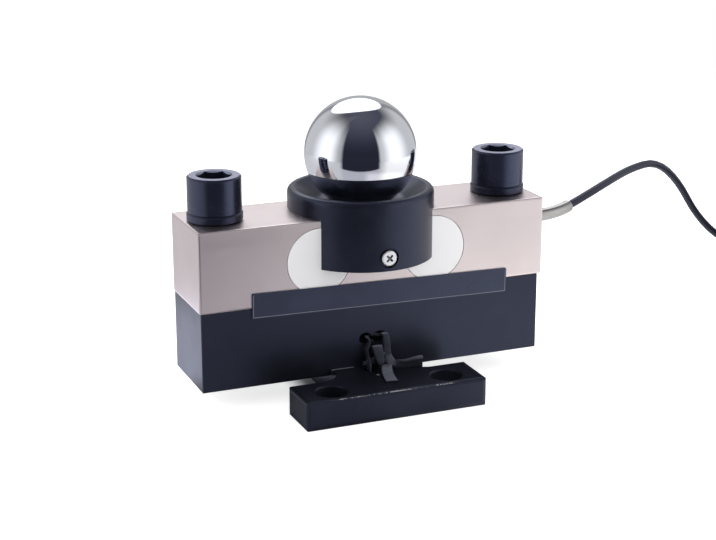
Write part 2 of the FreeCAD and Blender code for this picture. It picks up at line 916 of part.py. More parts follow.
def all_nodes():
    nodes = {
        "beam": beam(),
        "base_block": base_block(),
        "locating_plate": locating_plate(),
        "ball": ball(),
        "ball_seat": ball_seat(),
        "ball_collar": ball_collar(),
        "nameplate": nameplate(),
        "circuit_board": circuit_board(),
        "board_spacers": board_spacers(),
        "converter_chip": converter_chip(),
        "terminal_strip": terminal_strip(),
        "link_wires": link_wires(),
        "signal_wires": signal_wires(),
        "web_wires": web_wires(),
        "cable_gland": cable_gland(),
        "gland_nut": gland_nut(),
        "gland_seal": gland_seal(),
        "cable_sleeve": cable_sleeve(),
        "cable": cable(),
        "cable_coil": cable_coil(),
        "coil_ties": Part.Compound(coil_ties()),
        "cable_tail": cable_tail(),
        "cable_end_sleeve": cable_end_sleeve(),
        "tie_strap": tie_strap(),
    }
    for side, x in bolt_places():
        nodes[f"bolt_{side}"] = bolt(x, socket_turns[side])
        nodes[f"spring_washer_{side}"] = spring_washer(x)
    for place, x, outward in pocket_places():
        nodes[f"pocket_cover_{place}"] = pocket_cover(x, outward)
        nodes[f"strain_gauge_{place}"] = strain_gauge(x, outward)
    for face, outward in FACES:
        nodes[f"collar_screw_{face}"] = collar_screw(outward)
    nodes.update(cable_leads())
    return nodes


def main():
    os.makedirs("parts", exist_ok=True)
    for name, shape in all_nodes().items():
        shape.exportStep(f"parts/{name}.step")
    print("nodes written to parts")


main()
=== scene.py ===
"""Looks of a bridge type shear beam load cell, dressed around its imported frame.

All sizes are metres in the frame of the model: +X runs along the beam to the cable end, +Y to the rear
and +Z up, with the origin on the floor below the middle of the beam.
"""

import logging
import math
from dataclasses import dataclass
from enum import Enum

import bpy
import numpy as np
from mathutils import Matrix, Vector


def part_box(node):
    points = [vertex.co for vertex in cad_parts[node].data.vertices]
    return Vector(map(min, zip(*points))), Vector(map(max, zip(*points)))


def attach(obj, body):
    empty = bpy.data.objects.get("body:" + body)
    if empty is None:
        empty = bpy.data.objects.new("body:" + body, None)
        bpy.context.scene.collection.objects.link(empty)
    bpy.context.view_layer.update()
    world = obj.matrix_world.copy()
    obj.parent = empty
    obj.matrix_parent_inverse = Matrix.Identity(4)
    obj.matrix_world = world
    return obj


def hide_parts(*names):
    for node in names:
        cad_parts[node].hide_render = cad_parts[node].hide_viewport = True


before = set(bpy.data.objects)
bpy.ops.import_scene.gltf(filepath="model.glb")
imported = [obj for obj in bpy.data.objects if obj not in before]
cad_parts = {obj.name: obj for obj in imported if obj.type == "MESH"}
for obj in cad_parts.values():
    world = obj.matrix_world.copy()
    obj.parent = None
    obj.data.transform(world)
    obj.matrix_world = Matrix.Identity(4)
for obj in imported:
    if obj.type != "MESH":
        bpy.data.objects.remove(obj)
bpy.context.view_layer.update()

LOG = logging.getLogger("load_cell")
BODY = "root"

Colour = tuple[float, float, float]
Place = tuple[float, float, float]
Socket = bpy.types.NodeSocket

WHITE: Colour = (1.0, 1.0, 1.0)


class Side(Enum):
    """The two ends of the beam, with their signs along X."""

    LEFT = -1
    RIGHT = 1


class Face(Enum):
    """The two long faces of the beam, with their signs along Y."""

    FRONT = -1
    REAR = 1


class Caps(Enum):
    """Which end rows of a swept surface are closed by a fan of faces, as row numbers."""

    START = (0,)
    BOTH = (0, -1)


def srgb(red: int, green: int, blue: int) -> Colour:
    """Turns an 8-bit display colour into the linear one that shaders use.

    Args:
        red, green, blue: Display values from 0 to 255.

    Returns:
        The linear colour: each share s becomes s / 12.92 when dark, else ((s + 0.055) / 1.055) ^ 2.4.
    """
    shares = np.array((red, green, blue)) / 255
    linear = np.where(shares <= 0.04045, shares / 12.92, ((shares + 0.055) / 1.055) ** 2.4)
    return tuple(float(x) for x in linear)


def opaque(colour: Colour) -> tuple[float, float, float, float]:
    """The colour with full alpha, as colour sockets want it."""
    return (*colour, 1.0)


def node_object(name: str) -> bpy.types.Object:
    """The object of a CAD node."""
    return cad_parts[name]


def corners_of(node: str) -> tuple[Place, Place]:
    """The lowest and highest corner of a CAD node, as plain tuples."""
    low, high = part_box(node)
    return tuple(low), tuple(high)


def smooth_step(share: np.ndarray) -> np.ndarray:
    """Eases 0 to 1 with level ends: 3 s^2 - 2 s^3 of the clipped share s."""
    s = np.clip(share, 0, 1)
    return s * s * (3 - 2 * s)


class Graph:
    """A node tree with short calls that add nodes and join them."""

    def __init__(self, tree: bpy.types.NodeTree) -> None:
        """Wraps a material's, a world's or a group's node tree."""
        self.tree = tree

    def add(self, kind: str, inputs: dict | None = None, **settings: object) -> bpy.types.Node:
        """Adds a node.

        Args:
            kind: The node's Blender type.
            inputs: Values or sockets for its inputs, by name or index.
            settings: Plain attributes of the node.

        Returns:
            The new node.
        """
        node = self.tree.nodes.new(kind)
        for name, value in settings.items():
            setattr(node, name, value)
        for key, value in (inputs or {}).items():
            self.feed(node.inputs[key], value)
        return node

    def feed(self, socket: Socket, value: object) -> None:
        """Links an output to an input, or sets the input's constant."""
        if isinstance(value, bpy.types.NodeSocket):
            self.tree.links.new(value, socket)
        else:
            socket.default_value = value

    def math(self, operation: str, *values: object, clamp: bool = False) -> Socket:
        """The result of a Math node on the given values or sockets."""
        inputs = dict(enumerate(values))
        return self.add("ShaderNodeMath", inputs, operation=operation, use_clamp=clamp).outputs[0]

    def vector(self, operation: str, *values: object) -> bpy.types.Node:
        """A Vector Math node on the given vectors or sockets."""
        return self.add("ShaderNodeVectorMath", dict(enumerate(values)), operation=operation)

    def noise(self, vector: Socket, scale: object, detail: float = 2.0, rough: float = 0.5) -> Socket:
        """Noise from 0 to 1 at the given scale, in blotches per metre."""
        inputs = {"Vector": vector, "Scale": scale, "Detail": detail, "Roughness": rough}
        return self.add("ShaderNodeTexNoise", inputs).outputs["Fac"]

    def part(self, vector: Socket, axis: str) -> Socket:
        """The part of a vector along X, Y or Z."""
        return self.add("ShaderNodeSeparateXYZ", {"Vector": vector}).outputs[axis]

    def swing(self, mask: Socket, middle: float, width: float) -> Socket:
        """A value that goes through the given width about its middle while the mask goes from 0 to 1."""
        return self.math("MULTIPLY_ADD", mask, width, middle - width / 2)

    def fade(
        self, value: Socket, low: object, high: object, start: float = 0.0, end: float = 1.0
    ) -> Socket:
        """Eases from start to end while the value goes from low to high."""
        inputs = {"Value": value, "From Min": low, "From Max": high, "To Min": start, "To Max": end}
        return self.add("ShaderNodeMapRange", inputs, interpolation_type="SMOOTHSTEP").outputs[0]

    def blend(self, share: Socket, first: object, second: object) -> Socket:
        """A colour between two colours, given as tuples or sockets.

        Args:
            share: The share of the second colour.
            first, second: The colours.

        Returns:
            The mixed colour.
        """
        node = self.add("ShaderNodeMix", {"Factor": share}, data_type="RGBA")
        colours = [s for s in node.inputs if s.type == "RGBA"]
        for socket, value in zip(colours, (first, second)):
            self.feed(socket, value if isinstance(value, bpy.types.NodeSocket) else opaque(value))
        return next(s for s in node.outputs if s.type == "RGBA")

    def bump(self, height: Socket, depth: float, normal: Socket | None = None) -> Socket:
        """Bends a normal, or the surface's own, by a height.

        Args:
            height: The height, from 0 to 1.
            depth: What a height of 1 stands for, in metres.
            normal: The normal so far.

        Returns:
            The bent normal.
        """
        inputs = {"Height": height, "Distance": depth}
        if normal is not None:
            inputs["Normal"] = normal
        return self.add("ShaderNodeBump", inputs).outputs["Normal"]

    def group(self, tree: bpy.types.NodeTree, **inputs: object) -> bpy.types.Node:
        """Places a shared effect; an input's name has underscores for its spaces."""
        named = {key.replace("_", " "): value for key, value in inputs.items()}
        return self.add("ShaderNodeGroup", named, node_tree=tree)


class Effects:
    """Node groups that several finishes share, each built once.

    Attributes:
        BAND_SQUEEZE: How much less often the bands of grinding change than its lines.
        PATCH_SHARE: The share of large patches in the wear; small chips make up the rest.
        CHIP_FINENESS: How much finer the chips are than the patches.
        CHIP_BORDER: How soft the border of a worn spot is.
    """

    BAND_SQUEEZE = 0.12
    PATCH_SHARE = 0.65
    CHIP_FINENESS = 6.0
    CHIP_BORDER = 0.06

    def __init__(self) -> None:
        """Builds every group."""
        self.streaks = self._streaks()
        self.mottle = self._mottle()
        self.edge_wear = self._edge_wear()

    @staticmethod
    def start(name: str, inputs: dict[str, str], outputs: dict[str, str]) -> tuple[Graph, dict, dict]:
        """Starts a group.

        Args:
            name: The group's name.
            inputs: Socket type by input name.
            outputs: Socket type by output name.

        Returns:
            The graph inside the group, its inputs as sockets and its outputs as sockets.
        """
        tree = bpy.data.node_groups.new(name, "ShaderNodeTree")
        for socket_name, kind in inputs.items():
            tree.interface.new_socket(socket_name, in_out="INPUT", socket_type=kind)
        for socket_name, kind in outputs.items():
            tree.interface.new_socket(socket_name, in_out="OUTPUT", socket_type=kind)
        graph = Graph(tree)
        entry = graph.add("NodeGroupInput")
        leave = graph.add("NodeGroupOutput")
        return graph, entry.outputs, leave.inputs

    def _streaks(self) -> bpy.types.NodeTree:
        """Fine lines left by grinding: noise on coordinates that are squeezed along the grain.

        Returns:
            The group, which gives lines and broader bands, both from 0 to 1.
        """
        graph, given, result = self.start(
            "ground_streaks",
            {"Vector": "NodeSocketVector", "Pitch": "NodeSocketVector"},
            {"Lines": "NodeSocketFloat", "Bands": "NodeSocketFloat"},
        )
        squeezed = graph.vector("MULTIPLY", given["Vector"], given["Pitch"]).outputs[0]
        broad = graph.vector("MULTIPLY", squeezed, (self.BAND_SQUEEZE,) * 3).outputs[0]
        graph.feed(result["Lines"], graph.noise(squeezed, 1.0, detail=3.0, rough=0.6))
        graph.feed(result["Bands"], graph.noise(broad, 1.0))
        return graph.tree

    def _mottle(self) -> bpy.types.NodeTree:
        """Uneven tone over a surface: large clouds and small specks, both from 0 to 1.

        Returns:
            The group.
        """
        graph, given, result = self.start(
            "uneven_tone",
            {
                "Vector": "NodeSocketVector",
                "Cloud Scale": "NodeSocketFloat",
                "Speck Scale": "NodeSocketFloat",
            },
            {"Clouds": "NodeSocketFloat", "Specks": "NodeSocketFloat"},
        )
        clouds = graph.noise(given["Vector"], given["Cloud Scale"], detail=3.0, rough=0.55)
        graph.feed(result["Clouds"], clouds)
        graph.feed(result["Specks"], graph.noise(given["Vector"], given["Speck Scale"]))
        return graph.tree

    def _edge_wear(self) -> bpy.types.NodeTree:
        """Rubbed edges of a box.

        The middle one of the distances to its three pairs of faces is the distance to the nearest edge,
        and noise breaks up where that is under the width.

        Returns:
            The group, which gives the rubbed edges and the bare flecks in them, both from 0 to 1.
        """
        graph, given, result = self.start(
            "rubbed_edges",
            {
                "Vector": "NodeSocketVector",
                "Low": "NodeSocketVector",
                "High": "NodeSocketVector",
                "Width": "NodeSocketFloat",
                "Patch Scale": "NodeSocketFloat",
                "Amount": "NodeSocketFloat",
            },
            {"Rub": "NodeSocketFloat", "Flecks": "NodeSocketFloat"},
        )
        above = graph.vector("SUBTRACT", given["Vector"], given["Low"]).outputs[0]
        below = graph.vector("SUBTRACT", given["High"], given["Vector"]).outputs[0]
        nearest = graph.vector("MINIMUM", above, below).outputs[0]
        inside = graph.vector("MAXIMUM", nearest, (0, 0, 0)).outputs[0]
        parts = graph.add("ShaderNodeSeparateXYZ", {"Vector": inside}).outputs
        lesser = graph.math("MINIMUM", parts["X"], parts["Y"])
        greater = graph.math("MAXIMUM", parts["X"], parts["Y"])
        distance = graph.math("MAXIMUM", lesser, graph.math("MINIMUM", greater, parts["Z"]))
        rub = graph.fade(distance, 0.0, given["Width"], 1.0, 0.0)
        patches = graph.noise(given["Vector"], given["Patch Scale"], detail=4.0, rough=0.65)
        chip_scale = graph.math("MULTIPLY", given["Patch Scale"], self.CHIP_FINENESS)
        chips = graph.noise(given["Vector"], chip_scale, detail=3.0, rough=0.6)
        small = graph.math("MULTIPLY", chips, 1 - self.PATCH_SHARE)
        uneven = graph.math("MULTIPLY_ADD", patches, self.PATCH_SHARE, small)
        threshold = graph.math("SUBTRACT", 1.0, given["Amount"])
        bare = graph.fade(uneven, threshold, graph.math("ADD", threshold, self.CHIP_BORDER))
        graph.feed(result["Rub"], rub)
        graph.feed(result["Flecks"], graph.math("MULTIPLY", rub, bare))
        return graph.tree


EFFECTS = Effects()


class Surface:
    """A new material with its Principled BSDF, its graph and its object coordinates."""

    def __init__(self, name: str) -> None:
        """Starts a material of that name.

        Args:
            name: The material's name.
        """
        self.material = bpy.data.materials.new(name)
        self.material.use_nodes = True
        self.graph = Graph(self.material.node_tree)
        self.shader = self.material.node_tree.nodes["Principled BSDF"]
        self.coordinates = self.graph.add("ShaderNodeTexCoord").outputs
        self.place = self.coordinates["Object"]

    def set(self, **inputs: object) -> None:
        """Feeds inputs of the shader; an input's name has underscores for its spaces."""
        for key, value in inputs.items():
            self.graph.feed(self.shader.inputs[key.replace("_", " ")], value)


@dataclass(frozen=True)
class BrokenEdges:
    """Slightly rounded edges of a box, as a bend of the normal near them."""

    box: tuple[Place, Place]
    width: float = 0.0013
    depth: float = 0.0003

    def bend(self, surface: Surface, normal: Socket) -> Socket:
        """Bends a normal outwards along the edges.

        Args:
            surface: The material that is being built.
            normal: The normal so far.

        Returns:
            The bent normal.
        """
        g = surface.graph
        low, high = self.box
        edges = g.group(EFFECTS.edge_wear, Vector=surface.place, Low=low, High=high, Width=self.width)
        return g.bump(g.math("SUBTRACT", 1.0, edges.outputs["Rub"]), self.depth, normal)


@dataclass(frozen=True)
class GroundMetal:
    """Bare or plated metal with fine grinding lines.

    Attributes:
        pitch: How often the lines change along X, Y and Z, per metre; least along the grain.
        line_tone: The share of the lines in the tone; clouds make up the rest.
        end_grain: How far a face looks along the grain, as a cosine, while its lines fade out.
        broken: Edges that look slightly rounded.
    """

    name: str
    light: Colour
    dark: Colour
    roughness: float
    pitch: tuple[float, float, float]
    line_depth: float = 0.000004
    line_tone: float = 0.25
    cloud_scale: float = 22.0
    cloud_range: tuple[float, float] = (0.35, 0.65)
    gloss_swing: float = 0.12
    end_grain: tuple[float, float] = (0.4, 0.9)
    metallic: float = 1.0
    broken: BrokenEdges | None = None

    def material(self) -> bpy.types.Material:
        """Builds the metal: clouds and lines shift its tone, bands its gloss, and lines are also bump.

        Returns:
            The material.
        """
        s = Surface(self.name)
        g = s.graph
        lines = g.group(EFFECTS.streaks, Vector=s.place, Pitch=self.pitch).outputs
        clouds = g.group(EFFECTS.mottle, Vector=s.place, Cloud_Scale=self.cloud_scale).outputs["Clouds"]
        grain = unit(1 / np.array(self.pitch))
        endwise = g.vector("DOT_PRODUCT", s.coordinates["Normal"], tuple(grain)).outputs["Value"]
        sidewise = g.fade(g.math("ABSOLUTE", endwise), *self.end_grain, 1.0, 0.0)
        relief = g.math("MULTIPLY", lines["Lines"], sidewise)
        cloud_share = g.math("MULTIPLY", g.fade(clouds, *self.cloud_range), 1.0 - self.line_tone)
        share = g.math("MULTIPLY_ADD", relief, self.line_tone, cloud_share, clamp=True)
        colour = g.blend(share, self.light, self.dark)
        bands = g.math("MULTIPLY", g.math("SUBTRACT", lines["Bands"], 0.5), sidewise)
        gloss = g.math("MULTIPLY_ADD", bands, self.gloss_swing, self.roughness)
        normal = g.bump(relief, self.line_depth)
        if self.broken is not None:
            normal = self.broken.bend(s, normal)
        s.set(Base_Color=colour, Metallic=self.metallic, Roughness=gloss, Normal=normal)
        return s.material


@dataclass(frozen=True)
class WornEdges:
    """Edges of a box that are rubbed paler, with flecks of bare metal.

    Attributes:
        box: The box, as its low and high corner.
        amount: The share of the edges that is bare.
        span: The stretch along X in which the edges are worn.
        ease: How far the wear fades at either side of that stretch's ends.
        rub_share: How much of the rubbed tone shows right at an edge.
    """

    box: tuple[Place, Place]
    amount: float
    span: tuple[float, float] = (-1.0, 1.0)
    ease: float = 0.004
    width: float = 0.0007
    patch_scale: float = 160.0
    rub_share: float = 0.6
    rubbed: Colour = (0.05, 0.05, 0.06)
    bare: Colour = (0.50, 0.49, 0.50)

    def over(self, surface: Surface, colour: Socket) -> Socket:
        """Lays the wear over a coat.

        Args:
            surface: The material that is being built.
            colour: The coat's colour so far.

        Returns:
            The colour with its worn edges.
        """
        g = surface.graph
        wear = g.group(
            EFFECTS.edge_wear,
            Vector=surface.place,
            Low=self.box[0],
            High=self.box[1],
            Width=self.width,
            Patch_Scale=self.patch_scale,
            Amount=self.amount,
        ).outputs
        x = g.part(surface.place, "X")
        begun = g.fade(x, self.span[0] - self.ease, self.span[0] + self.ease)
        going = g.fade(x, self.span[1] - self.ease, self.span[1] + self.ease, 1.0, 0.0)
        within = g.math("MULTIPLY", begun, going)
        rub = g.math("MULTIPLY", g.math("MULTIPLY", wear["Rub"], within), self.rub_share)
        flecks = g.math("MULTIPLY", wear["Flecks"], within)
        return g.blend(flecks, g.blend(rub, colour, self.rubbed), self.bare)


@dataclass(frozen=True)
class TopHighlight:
    """A painted highlight: a paler tone on the faces that look up, from a height on.

    Attributes:
        tilt: How far a face looks up, as a cosine, while the painted highlight comes in.
    """

    tone: Colour
    height: float
    ease: float = 0.0005
    tilt: tuple[float, float] = (0.8, 0.98)

    def over(self, surface: Surface, colour: Socket) -> Socket:
        """Lays the painted highlight over a coat.

        Args:
            surface: The material that is being built.
            colour: The coat's colour so far.

        Returns:
            The colour with its painted highlight on top.
        """
        g = surface.graph
        # Painted highlight: faces that look up, above the height, take the paler tone.
        up = g.fade(g.part(surface.coordinates["Normal"], "Z"), *self.tilt)
        above = g.fade(g.part(surface.place, "Z"), self.height, self.height + self.ease)
        return g.blend(g.math("MULTIPLY", up, above), colour, self.tone)


@dataclass(frozen=True)
class GlintScuff:
    """A short light mark along a line, broken up by noise: a painted highlight laid on like a scuff.

    Attributes:
        core: The share of the radius in which the scuff is at its full.
        least: How much of it shows where the noise is weakest.
    """

    start: Place
    end: Place
    radius: float
    tone: Colour = (0.34, 0.34, 0.37)
    core: float = 0.4
    noise_scale: float = 700.0
    noise_range: tuple[float, float] = (0.3, 0.55)
    least: float = 0.5

    def over(self, surface: Surface, colour: Socket) -> Socket:
        """Lays the painted highlight over a coat.

        The nearest place on the line is start + t (end - start), with t the share of the way there that
        the place has gone, kept between 0 and 1.

        Args:
            surface: The material that is being built.
            colour: The coat's colour so far.

        Returns:
            The colour with the painted highlight.
        """
        g = surface.graph
        along = np.array(self.end) - np.array(self.start)
        gone = g.vector("SUBTRACT", surface.place, self.start).outputs[0]
        share = g.vector("DOT_PRODUCT", gone, tuple(along / (along @ along))).outputs["Value"]
        share = g.math("MINIMUM", g.math("MAXIMUM", share, 0.0), 1.0)
        scaled = {0: tuple(along), "Scale": share}
        nearest = g.add("ShaderNodeVectorMath", scaled, operation="SCALE").outputs[0]
        off = g.vector("LENGTH", g.vector("SUBTRACT", gone, nearest).outputs[0]).outputs["Value"]
        noise = g.noise(surface.place, self.noise_scale, detail=3.0, rough=0.6)
        uneven = g.fade(noise, *self.noise_range, self.least, 1.0)
        inside = g.fade(off, self.radius * self.core, self.radius, 1.0, 0.0)
        # Painted highlight: the light tone within the radius of the line.
        return g.blend(g.math("MULTIPLY", inside, uneven), colour, self.tone)


@dataclass(frozen=True)
class BlackCoat:
    """Black paint, oxide or moulding with a fine grain.

    Attributes:
        tint: The tint of its gloss.
        paler: The factor and the addition that turn its colour into that of its paler clouds.
        layers: Wear, painted highlights and other tones that lie over it, in this order.
        broken: Edges that look slightly rounded.
    """

    name: str
    colour: Colour
    roughness: float
    specular: float = 0.5
    tint: Colour = (0.58, 0.65, 1.0)
    grain_scale: float = 1600.0
    grain_depth: float = 0.000008
    cloud_scale: float = 45.0
    cloud_range: tuple[float, float] = (0.3, 0.75)
    paler: tuple[float, float] = (1.5, 0.001)
    gloss_swing: float = 0.16
    layers: tuple[WornEdges | TopHighlight | GlintScuff, ...] = ()
    broken: BrokenEdges | None = None

    def material(self) -> bpy.types.Material:
        """Builds the coat: clouds shift its tone and gloss, specks are bump, and layers lie over it.

        Returns:
            The material.
        """
        s = Surface(self.name)
        g = s.graph
        tone = g.group(
            EFFECTS.mottle, Vector=s.place, Cloud_Scale=self.cloud_scale, Speck_Scale=self.grain_scale
        ).outputs
        factor, addition = self.paler
        paler = tuple(c * factor + addition for c in self.colour)
        colour = g.blend(g.fade(tone["Clouds"], *self.cloud_range), self.colour, paler)
        for layer in self.layers:
            colour = layer.over(s, colour)
        normal = g.bump(tone["Specks"], self.grain_depth)
        if self.broken is not None:
            normal = self.broken.bend(s, normal)
        s.set(
            Base_Color=colour,
            Roughness=g.swing(tone["Clouds"], self.roughness, self.gloss_swing),
            Specular_IOR_Level=self.specular,
            Specular_Tint=opaque(self.tint),
            Normal=normal,
        )
        return s.material


@dataclass(frozen=True)
class ScrewHead:
    """A bright plated screw head, with painted shade inside its recess.

    Attributes:
        face: The place along Y of the head's outer face.
        outwards: The long face of the beam that the head looks out of.
    """

    name: str
    light: Colour
    recess: Colour
    face: float
    outwards: Face
    roughness: float = 0.24
    metallic: float = 0.6
    recess_depth: tuple[float, float] = (0.0003, 0.0010)
    dulling: float = 0.9
    cloud_scale: float = 300.0
    grain_scale: float = 2500.0
    gloss_swing: float = 0.1

    def material(self) -> bpy.types.Material:
        """Builds the head: its tone falls to painted shade with the depth below its face.

        Returns:
            The material.
        """
        s = Surface(self.name)
        g = s.graph
        inwards = g.math("SUBTRACT", g.part(s.place, "Y"), self.face)
        depth = g.math("MULTIPLY", inwards, -float(self.outwards.value))
        tone = g.group(
            EFFECTS.mottle, Vector=s.place, Cloud_Scale=self.cloud_scale, Speck_Scale=self.grain_scale
        ).outputs
        duller = tuple(c * self.dulling for c in self.light)
        colour = g.blend(tone["Clouds"], self.light, duller)
        # Painted shade: the recess darkens with depth below the head's face.
        colour = g.blend(g.fade(depth, *self.recess_depth), colour, self.recess)
        gloss = g.swing(tone["Specks"], self.roughness, self.gloss_swing)
        s.set(Base_Color=colour, Metallic=self.metallic, Roughness=gloss)
        return s.material


@dataclass(frozen=True)
class PolishedMetal:
    """Mirror bright steel with hair scratches.

    Attributes:
        hair_pitches: How often the two sets of scratches change along X, Y and Z, per metre.
        hair_range: The part of the noise that shows as scratches.
    """

    name: str
    colour: Colour
    roughness: float = 0.03
    hair_pitches: tuple[Place, Place] = ((60.0, 2600.0, 2600.0), (2600.0, 70.0, 2400.0))
    hair_range: tuple[float, float] = (0.72, 0.8)
    hair_roughness: float = 0.03
    cloud_scale: float = 30.0
    dulling: float = 0.96

    def material(self) -> bpy.types.Material:
        """Builds the mirror: crossing hair lines roughen it a little.

        Returns:
            The material.
        """
        s = Surface(self.name)
        g = s.graph
        sets = [g.group(EFFECTS.streaks, Vector=s.place, Pitch=pitch) for pitch in self.hair_pitches]
        hair = g.fade(g.math("MAXIMUM", *(one.outputs["Lines"] for one in sets)), *self.hair_range)
        clouds = g.group(EFFECTS.mottle, Vector=s.place, Cloud_Scale=self.cloud_scale).outputs["Clouds"]
        duller = tuple(c * self.dulling for c in self.colour)
        gloss = g.math("MULTIPLY_ADD", hair, self.hair_roughness, self.roughness)
        s.set(Base_Color=g.blend(clouds, self.colour, duller), Metallic=1.0, Roughness=gloss)
        return s.material


@dataclass(frozen=True)
class Tinted:
    """A plain coloured piece, such as a wire or a board, with a slightly uneven tone and grain."""

    name: str
    colour: Colour
    roughness: float = 0.45
    cloud_scale: float = 120.0
    grain_scale: float = 2500.0
    grain_depth: float = 0.000006
    unevenness: float = 0.25
    gloss_swing: float = 0.12

    def material(self) -> bpy.types.Material:
        """Builds the tint: clouds darken it, and specks are bump.

        Returns:
            The material.
        """
        s = Surface(self.name)
        g = s.graph
        tone = g.group(
            EFFECTS.mottle, Vector=s.place, Cloud_Scale=self.cloud_scale, Speck_Scale=self.grain_scale
        ).outputs
        darker = tuple(c * (1 - self.unevenness) for c in self.colour)
        s.set(
            Base_Color=g.blend(tone["Clouds"], self.colour, darker),
            Roughness=g.swing(tone["Specks"], self.roughness, self.gloss_swing),
            Normal=g.bump(tone["Specks"], self.grain_depth),
        )
        return s.material


@dataclass(frozen=True)
class WovenTape:
    """Flat woven tape: warp ribs along it, crossed by a fine weft.

    Attributes:
        shade: Its tone between the threads.
        upper: The painted highlight tone where it looks up.
        tint: The tint of its gloss.
        overlap: The part of the wave in which a thread comes up.
        least_thread: How much of the thread's tone shows in the darkest clouds.
        tilt: How far a face looks up, as a cosine, while the painted highlight comes in.
        fibre_relief: The height of loose fibres, as a share of a thread's.
    """

    name: str
    thread: Colour
    shade: Colour
    upper: Colour
    tint: Colour = (0.8, 0.85, 1.0)
    rib_pitch: float = 0.0006
    weft_pitch: float = 0.0007
    relief: float = 0.00005
    overlap: tuple[float, float] = (-0.7, 0.7)
    cloud_scale: float = 260.0
    cloud_range: tuple[float, float] = (0.2, 0.8)
    least_thread: float = 0.45
    tilt: tuple[float, float] = (0.45, 1.0)
    fibre_scale: float = 5200.0
    fibre_relief: float = 0.4
    roughness: float = 0.47
    gloss_swing: float = 0.1
    specular: float = 0.55

    def material(self) -> bpy.types.Material:
        """Builds the weave from the tape's own map, in metres along it and across it.

        The product of two sine waves raises each thread where it lies on top.

        Returns:
            The material.
        """
        s = Surface(self.name)
        g = s.graph
        parts = g.add("ShaderNodeSeparateXYZ", {"Vector": s.coordinates["UV"]}).outputs
        along = g.math("SINE", g.math("MULTIPLY", parts["X"], math.tau / self.weft_pitch))
        across = g.math("SINE", g.math("MULTIPLY", parts["Y"], math.tau / self.rib_pitch))
        over = g.fade(g.math("MULTIPLY", along, across), *self.overlap)
        tone = g.group(
            EFFECTS.mottle, Vector=s.place, Cloud_Scale=self.cloud_scale, Speck_Scale=self.fibre_scale
        ).outputs
        worn = g.fade(tone["Clouds"], *self.cloud_range, self.least_thread, 1.0)
        share = g.math("MULTIPLY", over, worn)
        # Painted highlight: faces that look up take the upper tone.
        up = g.fade(g.part(s.coordinates["Normal"], "Z"), *self.tilt)
        height = g.math("MULTIPLY_ADD", tone["Specks"], self.fibre_relief, over)
        s.set(
            Base_Color=g.blend(up, g.blend(share, self.shade, self.thread), self.upper),
            Roughness=g.swing(tone["Specks"], self.roughness, self.gloss_swing),
            Specular_IOR_Level=self.specular,
            Specular_Tint=opaque(self.tint),
            Normal=g.bump(height, self.relief),
        )
        return s.material


def dress(piece: bpy.types.Object, material: bpy.types.Material) -> None:
    """Gives a piece one material in place of all its slots.

    Args:
        piece: The object.
        material: Its material.
    """
    piece.data.materials.clear()
    piece.data.materials.append(material)


def dress_nodes(names: list[str], material: bpy.types.Material) -> None:
    """Gives several CAD nodes one material."""
    for name in names:
        dress(node_object(name), material)
        LOG.info("node %s: %s", name, material.name)


@dataclass(frozen=True)
class Grid:
    """A surface as rows and columns of points, with a map value for each row and each column.

    The last column joins the first, so there is one map value more across it than it has columns. Seen
    from outside, columns run to the right while rows run up.
    """

    points: np.ndarray
    along: np.ndarray
    across: np.ndarray
    caps: Caps

    def quads(self) -> tuple[np.ndarray, np.ndarray]:
        """The four corners of each face, and the map place of each corner.

        Returns:
            Point numbers, four for each face, and map places in the same order.
        """
        rows, columns = self.points.shape[:2]
        steps = np.meshgrid(np.arange(rows - 1), np.arange(columns), indexing="ij")
        row, column = (step.reshape(-1, 1) for step in steps)
        row = row + np.array([0, 0, 1, 1])
        column = column + np.array([0, 1, 1, 0])
        corners = row * columns + column % columns
        return corners, np.stack([self.along[row], self.across[column]], axis=-1)

    def fan(self, row: int, middle: int) -> tuple[np.ndarray, np.ndarray]:
        """Three-cornered faces from an end row to its middle point.

        Args:
            row: The first row, 0, or the last, -1.
            middle: The number of the middle point.

        Returns:
            Point numbers, three for each face, and map places in the same order.
        """
        rows, columns = self.points.shape[:2]
        ring = np.arange(columns) + (rows - 1) * columns * (row == -1)
        after = np.roll(ring, -1)
        pair = (after, ring) if row == 0 else (ring, after)
        corners = np.stack([*pair, np.full(columns, middle)], axis=1)
        along = np.full((columns, 3), self.along[row])
        across = np.tile(self.across[:-1, None], 3)
        return corners, np.stack([along, across], axis=-1)

    def parts(self, first: int) -> tuple[np.ndarray, list, np.ndarray]:
        """All points, all faces and the map place of every face corner, caps included.

        Args:
            first: The number that the first point gets in the whole piece.

        Returns:
            The points, the faces as point numbers in the whole piece, and the map places.
        """
        corners, places = self.quads()
        points = self.points.reshape(-1, 3)
        faces = (corners + first).tolist()
        maps = [places.reshape(-1, 2)]
        for row in self.caps.value:
            fan, places = self.fan(row, len(points))
            points = np.vstack([points, self.points[row].mean(axis=0)])
            faces += (fan + first).tolist()
            maps.append(places.reshape(-1, 2))
        return points, faces, np.vstack(maps)


def mesh_piece(name: str, grids: list[Grid], crease_degrees: float = 40.0) -> bpy.types.Object:
    """Makes one mesh object from several grids.

    Args:
        name: The object's name.
        grids: Its surfaces.
        crease_degrees: The angle above which an edge stays sharp.

    Returns:
        The object, at the origin.
    """
    points, faces, maps = np.zeros((0, 3)), [], []
    for grid in grids:
        more_points, more_faces, more_maps = grid.parts(len(points))
        points = np.vstack([points, more_points])
        faces += more_faces
        maps.append(more_maps)
    mesh = bpy.data.meshes.new(name)
    mesh.from_pydata(points, [], faces)
    layer = mesh.uv_layers.new(name="map")
    layer.data.foreach_set("uv", np.vstack(maps).astype(np.float32).ravel())
    mesh.polygons.foreach_set("use_smooth", np.ones(len(faces), bool))
    mesh.set_sharp_from_angle(angle=math.radians(crease_degrees))
    mesh.update()
    piece = bpy.data.objects.new(name, mesh)
    bpy.context.scene.collection.objects.link(piece)
    return piece


